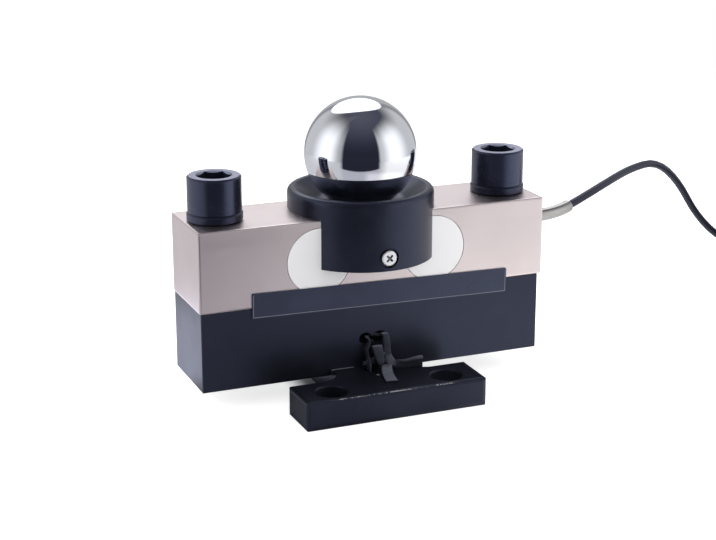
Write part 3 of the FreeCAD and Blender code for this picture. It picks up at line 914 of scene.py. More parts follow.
def line_through(values: np.ndarray, share: np.ndarray) -> np.ndarray:
    """A smooth line through given points.

    It is a Catmull-Rom spline: between two points it is the cubic whose slope at each is half the step
    from the point before to the point after, and the ends go on straight.

    Args:
        values: The points, one row each.
        share: Places along the line, from 0 to 1.

    Returns:
        The line's points, one row for each place.
    """
    last = len(values) - 1
    padded = np.vstack([2 * values[0] - values[1], values, 2 * values[-1] - values[-2]])
    span = np.minimum((share * last).astype(int), last - 1)
    t = (share * last - span)[:, None]
    a, b, c, d = (padded[span + step] for step in range(4))
    bend = (2 * a - 5 * b + 4 * c - d) * t**2 + (3 * b - a - 3 * c + d) * t**3
    return b + ((c - a) * t + bend) / 2


def unit(vectors: np.ndarray) -> np.ndarray:
    """The vectors, one row each, at length 1."""
    return vectors / np.linalg.norm(vectors, axis=-1, keepdims=True)


def lengths_along(points: np.ndarray) -> np.ndarray:
    """How far each point lies along the line through the points."""
    steps = np.linalg.norm(np.diff(points, axis=0), axis=1)
    return np.concatenate([[0.0], np.cumsum(steps)])


def add_to_object(piece: bpy.types.Object, replaced: tuple[str, ...] = ()) -> None:
    """Lets a new piece ride on the part's body, and stand for CAD nodes.

    Args:
        piece: The new piece.
        replaced: The nodes that it stands for.
    """
    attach(piece, BODY)
    if replaced:
        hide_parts(*replaced)
    LOG.info("piece %s with %d faces", piece.name, len(getattr(piece.data, "polygons", ())))


@dataclass(frozen=True)
class PhotoCamera:
    """The camera, at the viewing angle of the photograph."""

    place: Place = (-0.3548, -0.8535, 0.3429)
    target: Place = (-0.00148, 0.0, 0.0646)
    lens_mm: float = 84.88
    sensor_mm: float = 36.0
    clip_start: float = 0.01

    def build(self) -> None:
        """Makes the camera and looks through it."""
        data = bpy.data.cameras.new("camera")
        data.lens = self.lens_mm
        data.sensor_width = self.sensor_mm
        data.clip_start = self.clip_start
        camera = bpy.data.objects.new("camera", data)
        bpy.context.scene.collection.objects.link(camera)
        ahead = Vector(self.target) - Vector(self.place)
        camera.location = self.place
        camera.rotation_mode = "QUATERNION"
        camera.rotation_quaternion = ahead.to_track_quat("-Z", "Y")
        bpy.context.scene.camera = camera


@dataclass(frozen=True)
class SideBox:
    """A tall soft box at one side of the room, in degrees of turn and of rise.

    Attributes:
        edge: The turns between which its clear edge rises to the edge's share of the light.
        core: The turns between which the rest of its light comes in.
        fall: The rises between which it fades to its top's share.
    """

    edge: tuple[float, float]
    edge_share: float
    core: tuple[float, float]
    fall: tuple[float, float]
    top_share: float

    def light(self, graph: Graph, turn: Socket, rise: Socket) -> Socket:
        """Its light in a direction.

        Args:
            graph: The graph that gets the nodes.
            turn, rise: The direction.

        Returns:
            The light, from 0 to 1.
        """
        edge = graph.fade(turn, *self.edge, 0.0, self.edge_share)
        core = graph.fade(turn, *self.core, 0.0, 1.0 - self.edge_share)
        upwards = graph.fade(rise, *self.fall, 1.0, self.top_share)
        return graph.math("MULTIPLY", graph.math("ADD", edge, core), upwards)


@dataclass(frozen=True)
class FloorLift:
    """Extra light of the floor for mirrored rays.

    Attributes:
        start: The turns between which it comes in.
        end: The turns between which it goes out again, if it does.
        reach: The distances from the part between which it goes out, if it does.
    """

    strength: float
    start: tuple[float, float]
    end: tuple[float, float] | None = None
    reach: tuple[float, float] | None = None

    def light(self, graph: Graph, turn: Socket, away: Socket) -> Socket:
        """Its light at a place on the floor.

        Args:
            graph: The graph that gets the nodes.
            turn, away: The turn to the place, and its distance.

        Returns:
            The light.
        """
        light = graph.fade(turn, *self.start, 0.0, self.strength)
        if self.end is not None:
            light = graph.math("MULTIPLY", light, graph.fade(turn, *self.end, 1.0, 0.0))
        if self.reach is not None:
            light = graph.math("MULTIPLY", light, graph.fade(away, *self.reach, 1.0, 0.0))
        return light


@dataclass
class Studio:
    """White floor, soft lamps, and the room that reflections see.

    That room has a tall soft box at each side, a round panel high behind the part, and a dark opening
    towards the camera. Its angles are degrees: turns are counted to the right from the camera's side.
    Spots are so far to the right of the view, to its front and up.

    Attributes:
        camera_lift: Extra light of the floor for the rays of the camera.
        left_tint: The tint of the left lift, full where that lift reaches left_tint_full.
        table_edge: How far to the front, in the opening, mirrored rays see the floor end.
        table_side: How far away they see it end all round.
        far_floor: How far away the floor turns plain white for all other rays.
        shade_middle, shade_half: The middle and half size, along X and Y, of the shade below the part.
        rear_turn: The turns, to either side, between which the boxes fall to the rear light.
        back_turn: The turns between which the light goes on to the back light.
        gap_start, gap_end: The turns between which a dimmer gap comes and goes.
        panel_edge: How far from the panel's middle its border begins and ends.
        room_dark: The light of the dark parts at the two ends of dark_rise.
        dark_range: The lights between which the dark tint gives way to the light one.
        opening_edge: The turns, to either side, between which the opening ends.
    """

    view_degrees: float = -22.47
    floor_radius: float = 6.0
    floor_middle: float = 0.02
    floor_rings: int = 40
    floor_columns: int = 96
    floor_drop: float = 0.0003
    floor_tone: float = 0.8
    mirrored_tone: float = 0.53
    camera_lift: float = 0.72
    right_lift: FloorLift = FloorLift(0.42, (38.0, 60.0))
    left_lift: FloorLift = FloorLift(0.9, (-72.0, -88.0), reach=(0.20, 0.26))
    near_lift: FloorLift = FloorLift(0.3, (4.0, 22.0), (90.0, 110.0), (0.20, 0.29))
    left_tint: Colour = (0.90, 0.94, 1.2)
    left_tint_full: float = 0.5
    table_edge: tuple[float, float] = (0.265, 0.305)
    table_side: tuple[float, float] = (0.70, 0.95)
    far_floor: tuple[float, float] = (0.55, 1.1)
    shade_middle: tuple[float, float] = (-0.006, -0.013)
    shade_half: tuple[float, float] = (0.033, 0.027)
    shade_ease: float = 0.008
    ambient: float = 0.52
    side_power: float = 6.8
    side_spot: Place = (0.95, 0.05, 0.42)
    side_size: tuple[float, float] = (0.9, 0.8)
    top_power: float = 6.0
    top_spot: Place = (0.0, -0.35, 1.1)
    top_size: tuple[float, float] = (0.8, 0.6)
    lamp_aim: Place = (0.0, 0.0, 0.1)
    right_box: SideBox = SideBox((35.0, 43.0), 0.5, (43.0, 68.0), (25.0, 66.0), 0.02)
    left_box: SideBox = SideBox((-33.0, -42.0), 0.34, (-40.0, -68.0), (22.0, 72.0), 0.1)
    box_light: float = 1.36
    rear_light: float = 0.66
    rear_turn: tuple[float, float] = (80.0, 118.0)
    back_light: float = 0.50
    back_turn: tuple[float, float] = (156.0, 168.0)
    gap_depth: float = 0.5
    gap_start: tuple[float, float] = (145.0, 155.0)
    gap_end: tuple[float, float] = (158.0, 165.0)
    panel_light: float = 2.4
    panel_turn: float = -172.0
    panel_rise: float = 51.0
    panel_edge: tuple[float, float] = (28.0, 24.0)
    dark_rise: tuple[float, float] = (5.0, 90.0)
    room_dark: tuple[float, float] = (0.026, 0.11)
    dark_range: tuple[float, float] = (0.02, 0.2)
    dark_tint: Colour = (0.85, 0.89, 1.5)
    light_tint: Colour = (0.965, 0.985, 1.04)
    front_tint: Colour = (0.80, 0.81, 0.93)
    opening_edge: tuple[float, float] = (34.0, 44.0)

    def axes(self) -> tuple[np.ndarray, np.ndarray]:
        """The level directions to the right of the view and towards the camera.

        Returns:
            The two directions, each of length 1.
        """
        turn = math.radians(self.view_degrees)
        right = np.array((math.cos(turn), math.sin(turn), 0.0))
        front = np.array((math.sin(turn), -math.cos(turn), 0.0))
        return right, front

    def spot(self, right: float, front: float, up: float) -> np.ndarray:
        """The place that lies so far to the right, to the front and up."""
        r, f = self.axes()
        return r * right + f * front + np.array((0.0, 0.0, up))

    def build(self) -> None:
        """Sets the view, the world, the floor and the lamps."""
        bpy.context.scene.view_settings.view_transform = "Standard"
        room = self.room()
        self.build_world(room)
        self.build_floor(room)
        self.build_lamps()

    @staticmethod
    def ray_kinds(graph: Graph) -> tuple[Socket, Socket]:
        """Two masks: rays from the camera, and rays off a gloss or through glass.

        Args:
            graph: The graph that gets the nodes.

        Returns:
            The masks.
        """
        path = graph.add("ShaderNodeLightPath").outputs
        mirrored = graph.math("MAXIMUM", path["Is Glossy Ray"], path["Is Transmission Ray"])
        return path["Is Camera Ray"], mirrored

    def room(self) -> bpy.types.NodeTree:
        """The group that gives the room's light in a direction, and the direction's turn in degrees.

        Each soft box starts at a clear edge beside the dark opening, grows to its full light further out,
        fades upwards, and falls off towards the rear.

        Returns:
            The node group.
        """
        g, given, result = Effects.start(
            "studio_room",
            {"Direction": "NodeSocketVector"},
            {"Light": "NodeSocketFloat", "Turn": "NodeSocketFloat"},
        )
        ahead = g.vector("NORMALIZE", given["Direction"]).outputs[0]
        sides = [g.vector("DOT_PRODUCT", ahead, tuple(axis)).outputs["Value"] for axis in self.axes()]
        turn = g.math("DEGREES", g.math("ARCTAN2", *sides))
        rise = g.math("DEGREES", g.math("ARCSINE", g.part(ahead, "Z")))
        aside = g.math("ABSOLUTE", turn)
        boxes = g.math("ADD", self.right_box.light(g, turn, rise), self.left_box.light(g, turn, rise))
        full = g.fade(aside, *self.rear_turn, self.box_light, self.rear_light)
        boxes = g.math("MULTIPLY", boxes, full)
        gap = g.fade(aside, *self.gap_start, 0.0, self.gap_depth)
        gap = g.math("MULTIPLY", gap, g.fade(aside, *self.gap_end, 1.0, 0.0))
        boxes = g.math("MULTIPLY", boxes, g.math("SUBTRACT", 1.0, gap))
        change = g.fade(aside, *self.back_turn, 0.0, self.back_light - self.rear_light)
        dark = g.fade(rise, *self.dark_rise, *self.room_dark)
        light = g.math("MAXIMUM", g.math("ADD", boxes, change), dark)
        flat, tall = math.radians(self.panel_turn), math.radians(self.panel_rise)
        level = math.cos(tall)
        middle = self.spot(math.sin(flat) * level, math.cos(flat) * level, math.sin(tall))
        near = g.vector("DOT_PRODUCT", ahead, tuple(middle)).outputs["Value"]
        outer, inner = (math.cos(math.radians(angle)) for angle in self.panel_edge)
        panel = g.fade(near, outer, inner)
        rest = g.math("MULTIPLY", light, g.math("SUBTRACT", 1.0, panel))
        g.feed(result["Light"], g.math("MULTIPLY_ADD", panel, self.panel_light, rest))
        g.feed(result["Turn"], turn)
        return g.tree

    def room_colour(self, graph: Graph, light: Socket, mirrored: Socket) -> Socket:
        """White, but bluish for mirrored rays, most of all where the room is dark."""
        tone = graph.blend(graph.fade(light, *self.dark_range), self.dark_tint, self.light_tint)
        return graph.blend(mirrored, WHITE, tone)

    def build_world(self, room: bpy.types.NodeTree) -> None:
        """White for what the camera sees, the room for reflections, and a plain level for what is lit.

        Args:
            room: The group that gives the room's light.
        """
        world = bpy.data.worlds.new("studio")
        world.use_nodes = True
        world.node_tree.nodes.clear()
        g = Graph(world.node_tree)
        direction = g.add("ShaderNodeTexCoord").outputs["Generated"]
        light = g.group(room, Direction=direction).outputs["Light"]
        camera, mirrored = self.ray_kinds(g)
        other = g.math("SUBTRACT", 1.0, g.math("ADD", camera, mirrored))
        lit = g.math("MULTIPLY_ADD", other, self.ambient, camera)
        strength = g.math("MULTIPLY_ADD", mirrored, light, lit)
        colour = self.room_colour(g, light, mirrored)
        glow = g.add("ShaderNodeBackground", {"Color": colour, "Strength": strength})
        g.add("ShaderNodeOutputWorld", {"Surface": glow.outputs[0]})
        bpy.context.scene.world = world

    def build_floor(self, room: bpy.types.NodeTree) -> None:
        """A white disc, as rings round the origin, that keeps the part's shadow.

        Args:
            room: The group that gives the room's light.
        """
        rings = np.geomspace(self.floor_middle, self.floor_radius, self.floor_rings)
        turns = np.linspace(math.tau, 0, self.floor_columns + 1)
        circle = np.stack([np.cos(turns), np.sin(turns), np.zeros_like(turns)], axis=-1)[:-1]
        points = rings[:, None, None] * circle - np.array((0.0, 0.0, self.floor_drop))
        floor = mesh_piece("floor", [Grid(points, rings, turns, Caps.START)])
        floor.data.materials.append(self.floor_material(room))

    def foot_shade(self, graph: Graph, place: Socket) -> Socket:
        """A mask of the floor below the part: a soft band along X times one along Y.

        Args:
            graph: The floor's graph.
            place: The place on the floor.

        Returns:
            The mask.
        """
        bands = []
        for axis, middle, half in zip("XY", self.shade_middle, self.shade_half):
            off = graph.math("ABSOLUTE", graph.math("SUBTRACT", graph.part(place, axis), middle))
            bands.append(graph.fade(off, half - self.shade_ease, half + self.shade_ease, 1.0, 0.0))
        return graph.math("MULTIPLY", *bands)

    def floor_material(self, room: bpy.types.NodeTree) -> bpy.types.Material:
        """Matt white, lifted for the rays that see it, and plain white or the room's light further out.

        Close to the part's foot, where it stands in its own shade, the lift fades out.

        Args:
            room: The group that gives the room's light.

        Returns:
            The floor's material.
        """
        material = bpy.data.materials.new("floor_white")
        material.use_nodes = True
        material.node_tree.nodes.clear()
        g = Graph(material.node_tree)
        place = g.add("ShaderNodeTexCoord").outputs["Object"]
        camera, mirrored = self.ray_kinds(g)
        level = g.vector("MULTIPLY", place, (1.0, 1.0, 0.0)).outputs[0]
        seen = g.group(room, Direction=level).outputs
        away = g.vector("LENGTH", place).outputs["Value"]
        lifts = (self.right_lift, self.left_lift, self.near_lift)
        right, left, near = (lift.light(g, seen["Turn"], away) for lift in lifts)
        lift = g.math("MULTIPLY", mirrored, g.math("ADD", right, g.math("ADD", left, near)))
        lift = g.math("MULTIPLY_ADD", camera, self.camera_lift, lift)
        lift = g.math("MULTIPLY", lift, g.math("SUBTRACT", 1.0, self.foot_shade(g, place)))
        tinted = g.math("MULTIPLY", mirrored, g.fade(left, 0.0, self.left_tint_full))
        glow_tone = g.blend(tinted, WHITE, self.left_tint)
        glow = g.add("ShaderNodeEmission", {"Color": glow_tone, "Strength": lift})
        opening = g.fade(g.math("ABSOLUTE", seen["Turn"]), *self.opening_edge, 1.0, 0.0)
        front_tone = tuple(self.mirrored_tone * c for c in self.front_tint)
        side_tone = tuple(self.mirrored_tone * c for c in self.light_tint)
        mirrored_tone = g.blend(opening, side_tone, front_tone)
        matt_colour = g.blend(mirrored, (self.floor_tone,) * 3, mirrored_tone)
        matt = g.add("ShaderNodeBsdfDiffuse", {"Color": matt_colour})
        close = g.add("ShaderNodeAddShader", {0: matt.outputs[0], 1: glow.outputs[0]})
        ahead = g.vector("DOT_PRODUCT", place, tuple(self.axes()[1])).outputs["Value"]
        past_edge = g.math("MULTIPLY", g.fade(ahead, *self.table_edge), opening)
        past_table = g.math("MAXIMUM", past_edge, g.fade(away, *self.table_side))
        far = g.math("MULTIPLY", g.fade(away, *self.far_floor), g.math("SUBTRACT", 1.0, mirrored))
        far = g.math("MULTIPLY_ADD", mirrored, past_table, far)
        strength = g.math("MULTIPLY_ADD", mirrored, g.math("SUBTRACT", seen["Light"], 1.0), 1.0)
        colour = self.room_colour(g, seen["Light"], mirrored)
        plain = g.add("ShaderNodeEmission", {"Color": colour, "Strength": strength})
        mixed = g.add("ShaderNodeMixShader", {0: far, 1: close.outputs[0], 2: plain.outputs[0]})
        g.add("ShaderNodeOutputMaterial", {"Surface": mixed.outputs[0]})
        return material

    def build_lamps(self) -> None:
        """Soft boxes to the left and the right, and one above the rear."""
        aside, ahead, up = self.side_spot
        for side in (Side.RIGHT, Side.LEFT):
            place = self.spot(side.value * aside, ahead, up)
            self.soft_box(f"lamp_{side.name.lower()}", place, self.side_size, self.side_power)
        self.soft_box("lamp_top", self.spot(*self.top_spot), self.top_size, self.top_power)

    def soft_box(self, name: str, place: np.ndarray, size: tuple[float, float], power: float) -> None:
        """Adds one rectangular area lamp that faces the part and that reflections don't see.

        Args:
            name: The lamp's name.
            place: Its middle.
            size: Its width and height.
            power: Its power in watts.
        """
        data = bpy.data.lights.new(name, "AREA")
        data.shape = "RECTANGLE"
        data.size, data.size_y = size
        data.energy = power
        lamp = bpy.data.objects.new(name, data)
        bpy.context.scene.collection.objects.link(lamp)
        ahead = Vector(self.lamp_aim) - Vector(place)
        lamp.location = place
        lamp.rotation_mode = "QUATERNION"
        lamp.rotation_quaternion = ahead.to_track_quat("-Z", "Y")
        lamp.visible_glossy = False


@dataclass
class ShearBeam:
    """The plated beam, its pocket covers and the gauges that lie sealed in its pockets."""

    grain: Place = (14.0, 2600.0, 2600.0)
    cover_grain: Place = (18.0, 1800.0, 1800.0)

    def dress(self) -> None:
        """Gives the beam its ground plating, and the covers a brighter finish."""
        plating = GroundMetal(
            "plated_beam",
            light=(0.747, 0.656, 0.638),
            dark=(0.698, 0.613, 0.596),
            roughness=0.37,
            pitch=self.grain,
            line_depth=0.00001,
            broken=BrokenEdges(corners_of("beam")),
        )
        dress_nodes(["beam"], plating.material())
        bright = GroundMetal(
            "bright_cover",
            light=(0.93, 0.925, 0.94),
            dark=(0.90, 0.895, 0.915),
            roughness=0.4,
            pitch=self.cover_grain,
            metallic=0.0,
        )
        places = [f"{face.name.lower()}_{side.name.lower()}" for face in Face for side in Side]
        dress_nodes([f"pocket_cover_{place}" for place in places], bright.material())
        film = Tinted("gauge_film", srgb(196, 138, 52), roughness=0.3)
        dress_nodes([f"strain_gauge_{place}" for place in places], film.material())


@dataclass
class ConverterBoard:
    """The converter in the rear pocket, with its spacers and wires."""

    spacer_grain: Place = (900.0, 900.0, 20.0)

    def dress(self) -> None:
        """Gives each inner piece its own tint."""
        tints = {
            "circuit_board": Tinted("board_green", srgb(24, 92, 58), roughness=0.4),
            "converter_chip": Tinted("chip_black", srgb(28, 28, 30), roughness=0.5),
            "terminal_strip": Tinted("terminal_green", srgb(40, 120, 70)),
            "link_wires": Tinted("wire_grey", srgb(120, 120, 124), roughness=0.5),
            "signal_wires": Tinted("wire_screen", srgb(150, 146, 140), roughness=0.4),
            "web_wires": Tinted("wire_white", srgb(205, 205, 200), roughness=0.5),
            "board_spacers": GroundMetal(
                "spacer_brass",
                light=(0.72, 0.56, 0.28),
                dark=(0.62, 0.48, 0.24),
                roughness=0.3,
                pitch=self.spacer_grain,
            ),
        }
        for name, tint in tints.items():
            dress_nodes([name], tint.material())


@dataclass
class BaseAndPlate:
    """The black base block and the T-shaped locating plate before it.

    Attributes:
        far_off: Where the faces of a box stand whose edges don't count.
        worn_span: The stretch along X in which the plate's upper front edge is worn.
    """

    colour: Colour = (0.0060, 0.0063, 0.0092)
    far_off: float = 1.0
    worn_span: tuple[float, float] = (-0.044, 0.029)
    # Painted highlights: small light spots and a short light line on the plate, laid on as scuffs.
    plate_glint_scuffs: tuple[GlintScuff, ...] = (
        GlintScuff((-0.0068, -0.0417, 0.016), (-0.0066, -0.0423, 0.016), 0.0011),
        GlintScuff((-0.0276, -0.0250, 0.016), (-0.0150, -0.0252, 0.016), 0.0007),
        GlintScuff((-0.0318, -0.0404, 0.0150), (-0.0306, -0.0404, 0.0150), 0.0008),
    )

    def dress(self) -> None:
        """Paints both; the base is rubbed at its edges, and the plate along its bar's upper front edge."""
        rubbed = WornEdges(corners_of("base_block"), amount=0.2)
        base = BlackCoat("painted_base", self.colour, roughness=0.32, specular=0.6, layers=(rubbed,))
        dress_nodes(["base_block"], base.material())
        low, high = corners_of("locating_plate")
        front_edge = ((-self.far_off, low[1], -self.far_off), (self.far_off, self.far_off, high[2]))
        chipped = WornEdges(front_edge, amount=0.52, span=self.worn_span)
        plate = BlackCoat(
            "painted_plate",
            self.colour,
            roughness=0.38,
            # The plate's painted highlights lie over its worn edge.
            layers=(chipped, *self.plate_glint_scuffs),
            broken=BrokenEdges((low, (high[0], self.far_off, high[2])), width=0.0022, depth=0.0007),
        )
        dress_nodes(["locating_plate"], plate.material())


@dataclass
class BallSeating:
    """The load ball, its cup, the collar round it and the collar's screws."""

    rows: int = 160
    columns: int = 240
    cup_grain: Place = (1500.0, 1500.0, 1500.0)

    def build(self) -> None:
        """Makes a finely divided ball where the CAD ball is."""
        low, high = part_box("ball")
        centre = np.array((low + high) / 2)
        radius = (high.z - low.z) / 2
        ball = self.sphere(centre, radius)
        polish = PolishedMetal("polished_ball", (0.80, 0.805, 0.82))
        dress(ball, polish.material())
        add_to_object(ball, ("ball",))

    def sphere(self, centre: np.ndarray, radius: float) -> bpy.types.Object:
        """A sphere as rings of latitude: the ring at polar angle p has radius r sin p and height r cos p.

        Args:
            centre: Its middle.
            radius: Its radius.

        Returns:
            The ball's object.
        """
        polar = np.linspace(math.pi, 0, self.rows + 1)[1:-1]
        turn = np.linspace(0, math.tau, self.columns + 1)
        ring = np.stack([np.cos(turn), np.sin(turn), np.zeros_like(turn)], axis=-1)[:-1]
        rise = np.cos(polar)[:, None, None] * np.array((0.0, 0.0, 1.0))
        points = centre + radius * (np.sin(polar)[:, None, None] * ring + rise)
        grid = Grid(points, -polar * radius, turn * radius, Caps.BOTH)
        return mesh_piece("load_ball", [grid], crease_degrees=180)

    def dress(self) -> None:
        """Finishes the collar, the cup and the screws."""
        collar = BlackCoat(
            "collar_black", (0.0078, 0.0084, 0.0138), roughness=0.32, specular=0.56, grain_scale=2200.0
        )
        dress_nodes(["ball_collar"], collar.material())
        cup = GroundMetal(
            "hardened_cup",
            light=(0.45, 0.44, 0.43),
            dark=(0.36, 0.35, 0.34),
            roughness=0.25,
            pitch=self.cup_grain,
        )
        dress_nodes(["ball_seat"], cup.material())
        for side in Face:
            word = side.name.lower()
            node = f"collar_screw_{word}"
            low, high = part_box(node)
            # recess is the painted shade inside the cross recess.
            zinc = ScrewHead(
                f"zinc_screw_{word}",
                light=(0.93, 0.935, 0.95),
                recess=(0.2, 0.2, 0.22),
                face=low.y if side is Face.FRONT else high.y,
                outwards=side,
            )
            dress_nodes([node], zinc.material())


@dataclass
class BoltSet:
    """The two socket head bolts with their spring washers.

    Attributes:
        highlight_depth: How far below the top of a head the painted highlight on its upper face ends.
    """

    highlight_depth: float = 0.0025
    grain_scale: float = 1400.0

    def dress(self) -> None:
        """Gives bolts and washers a black oxide finish, with a painted highlight on top of the heads."""
        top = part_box("bolt_left")[1].z
        oxide = BlackCoat(
            "bolt_oxide",
            (0.0085, 0.0095, 0.018),
            roughness=0.28,
            specular=1.0,
            grain_scale=self.grain_scale,
            # Painted highlight on the upper faces of the heads.
            layers=(TopHighlight(srgb(132, 134, 152), top - self.highlight_depth),),
        )
        washer = BlackCoat(
            "washer_oxide",
            (0.0075, 0.0085, 0.015),
            roughness=0.32,
            specular=0.9,
            grain_scale=self.grain_scale,
        )
        sides = [side.name.lower() for side in Side]
        dress_nodes([f"bolt_{side}" for side in sides], oxide.material())
        dress_nodes([f"spring_washer_{side}" for side in sides], washer.material())


@dataclass
class Nameplate:
    """The bare nameplate, with a thin printed line down its ends and along its foot.

    It is stuck on slightly askew, with its left end up.
    """

    length: float = 0.1546
    height: float = 0.0142
    tilt_degrees: float = 1.0
    inset: float = 0.0005
    line_width: float = 0.0003
    line_rise: float = 0.00004
    line_sink: float = 0.00002

    def build(self) -> None:
        """Lays the printed line on the plate's front: a flat section carried along three of its sides."""
        low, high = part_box("nameplate")
        middle = (low + high) / 2
        corners = np.array([(1, 1), (1, -1), (-1, -1), (-1, 1)])
        inwards = np.array((0.0, self.line_width, self.line_width, 0.0))
        depth = np.array((-self.line_rise, -self.line_rise, self.line_sink, self.line_sink))
        outline = np.array((self.length, self.height)) / 2 - self.inset
        flat = corners[:, None] * (outline - inwards[:, None])
        tilt = math.radians(self.tilt_degrees)
        across = flat[..., 0] * math.cos(tilt) + flat[..., 1] * math.sin(tilt)
        up = flat[..., 1] * math.cos(tilt) - flat[..., 0] * math.sin(tilt)
        points = np.stack([middle.x + across, np.tile(low.y + depth, (4, 1)), middle.z + up], axis=-1)
        line = mesh_piece("nameplate_line", [Grid(points, np.arange(4.0), np.arange(5.0), Caps.BOTH)])
        silver = Tinted("printed_line", srgb(128, 130, 138), roughness=0.4, unevenness=0.15)
        dress(line, silver.material())
        add_to_object(line)

    def dress(self) -> None:
        """Gives the plate a satin black."""
        satin = BlackCoat(
            "nameplate_satin",
            srgb(31, 34, 43),
            roughness=0.3,
            specular=0.75,
            grain_scale=3000.0,
            grain_depth=0.000003,
        )
        dress_nodes(["nameplate"], satin.material())


@dataclass
class SignalCable:
    """The signal cable with its gland and metal sleeve, its tied coil and its open end.

    Attributes:
        route: Control points from inside the gland to the coil.
        columns, layers: How many turns lie beside and above each other.
        over_degrees, over_reach: The way from the last turn over the coil, by angle and radius.
        tail_degrees: The angle at which the tail crosses the coil.
        tail_tuck: How far the tail goes on inside the sleeve at its end.
    """

    diameter: float = 0.005
    length: float = 12.0
    exit: Place = (0.1168, 0.0165, 0.08025)
    route: tuple[Place, ...] = (
        (0.1046, 0.0165, 0.08025),
        (0.1346, 0.0165, 0.08025),
        (0.1606, 0.0300, 0.0840),
        (0.1896, 0.0490, 0.0870),
        (0.2216, 0.0740, 0.0875),
        (0.2536, 0.0930, 0.0860),
        (0.2806, 0.1060, 0.0670),
        (0.3036, 0.1160, 0.0375),
        (0.3326, 0.1230, 0.0135),
        (0.3699, 0.1220, 0.0034),
    )
    coil_centre: tuple[float, float] = (0.3856, 0.062)
    coil_mid_radius: float = 0.043
    coil_bottom: float = 0.001
    columns: int = 7
    layers: int = 7
    points_per_turn: int = 16
    over_degrees: tuple[float, ...] = (90.0, 62.0, 34.0, 8.0)
    over_reach: tuple[float, ...] = (0.0285, 0.0310, 0.0385, 0.0480)
    tail_degrees: float = -70.0
    tail_half: float = 0.033
    tail_length: float = 0.022
    tail_tuck: float = 0.004
    tail_height: float = 0.0391
    bevel_steps: int = 4
    spline_steps: int = 4
    spline_order: int = 3
    metal_grain: Place = (30.0, 2200.0, 2200.0)

    def ring_radius(self, ring: np.ndarray) -> np.ndarray:
        """The radius of a turn in a ring, counted from the inside."""
        return self.coil_mid_radius + (ring - (self.columns - 1) / 2) * self.diameter

    def layer_height(self, layer: np.ndarray) -> np.ndarray:
        """The height of a turn's middle in a layer, counted from the floor."""
        return self.coil_bottom + (layer + 0.5) * self.diameter

    def turn_order(self) -> tuple[np.ndarray, np.ndarray]:
        """The order of the coil's turns: inwards and outwards by layers, each starting one ring on from
        where the last one climbed.

        Returns:
            The ring and the layer of each turn.
        """
        rings: list[int] = []
        layers: list[int] = []
        for layer in range(self.layers):
            inwards = layer % 2 == 0
            order = list(range(self.columns))[::-1 if inwards else 1]
            order = order if layer == 0 else order[1:]
            rings += order
            layers += [layer] * len(order)
        return np.array(rings), np.array(layers)

    def coil_points(self) -> np.ndarray:
        """Control points of the coil, wound clockwise from its rear.

        In the first half of a turn the radius eases over from the last ring, and in the second half of a
        layer's last turn the height eases up to the next layer. A quadratic spline runs inside its control
        points, by the cosine of half the angle between them, so they stand that much further out.

        Returns:
            The points, one row each.
        """
        rings, layers = self.turn_order()
        share = np.arange(self.points_per_turn) / self.points_per_turn
        before = self.ring_radius(np.concatenate([rings[:1], rings[:-1]]))[:, None]
        now = self.ring_radius(rings)[:, None]
        low = self.layer_height(layers)[:, None]
        high = self.layer_height(np.append(layers[1:], self.layers))[:, None]
        radius = before + (now - before) * smooth_step(2 * share)
        height = low + (high - low) * smooth_step(2 * share - 1)
        angle = math.pi / 2 - math.tau * share
        outside = 1 / math.cos(math.pi / self.points_per_turn)
        x = self.coil_centre[0] + radius * outside * np.cos(angle)
        y = self.coil_centre[1] + radius * outside * np.sin(angle)
        return np.stack([x, y, height], axis=-1).reshape(-1, 3)

    def tail_points(self) -> np.ndarray:
        """Control points from the coil's last turn, over its top, to the end of the cable.

        Returns:
            The points, one row each.
        """
        centre = np.array((*self.coil_centre, self.tail_height))
        turns = np.radians(self.over_degrees)
        reach = np.array(self.over_reach)
        over = np.stack([reach * np.cos(turns), reach * np.sin(turns), np.zeros_like(reach)], axis=-1)
        spoke = math.radians(self.tail_degrees)
        ahead = np.array((math.sin(spoke), -math.cos(spoke), 0.0))
        middle = self.coil_mid_radius * np.array((math.cos(spoke), math.sin(spoke), 0.0))
        start = middle - ahead * self.tail_half
        end = start + ahead * (self.tail_length + self.tail_tuck)
        return centre + np.vstack([over, start, end])

    def build(self) -> None:
        """Makes the cable as one spline along its route, its coil and its tail."""
        points = np.vstack([np.array(self.route), self.coil_points(), self.tail_points()])
        data = bpy.data.curves.new("signal_cable", "CURVE")
        data.dimensions = "3D"
        data.bevel_depth = self.diameter / 2
        data.bevel_resolution = self.bevel_steps
        data.resolution_u = self.spline_steps
        data.use_fill_caps = True
        spline = data.splines.new("NURBS")
        spline.points.add(len(points) - 1)
        spline.points.foreach_set("co", np.column_stack([points, np.ones(len(points))]).ravel())
        spline.order_u = self.spline_order
        spline.use_endpoint_u = True
        cable = bpy.data.objects.new("signal_cable", data)
        bpy.context.scene.collection.objects.link(cable)
        jacket = BlackCoat(
            "cable_jacket", (0.009, 0.009, 0.014), roughness=0.40, specular=0.4, grain_scale=1800.0
        )
        data.materials.append(jacket.material())
        add_to_object(cable, ("cable", "cable_coil", "cable_tail"))

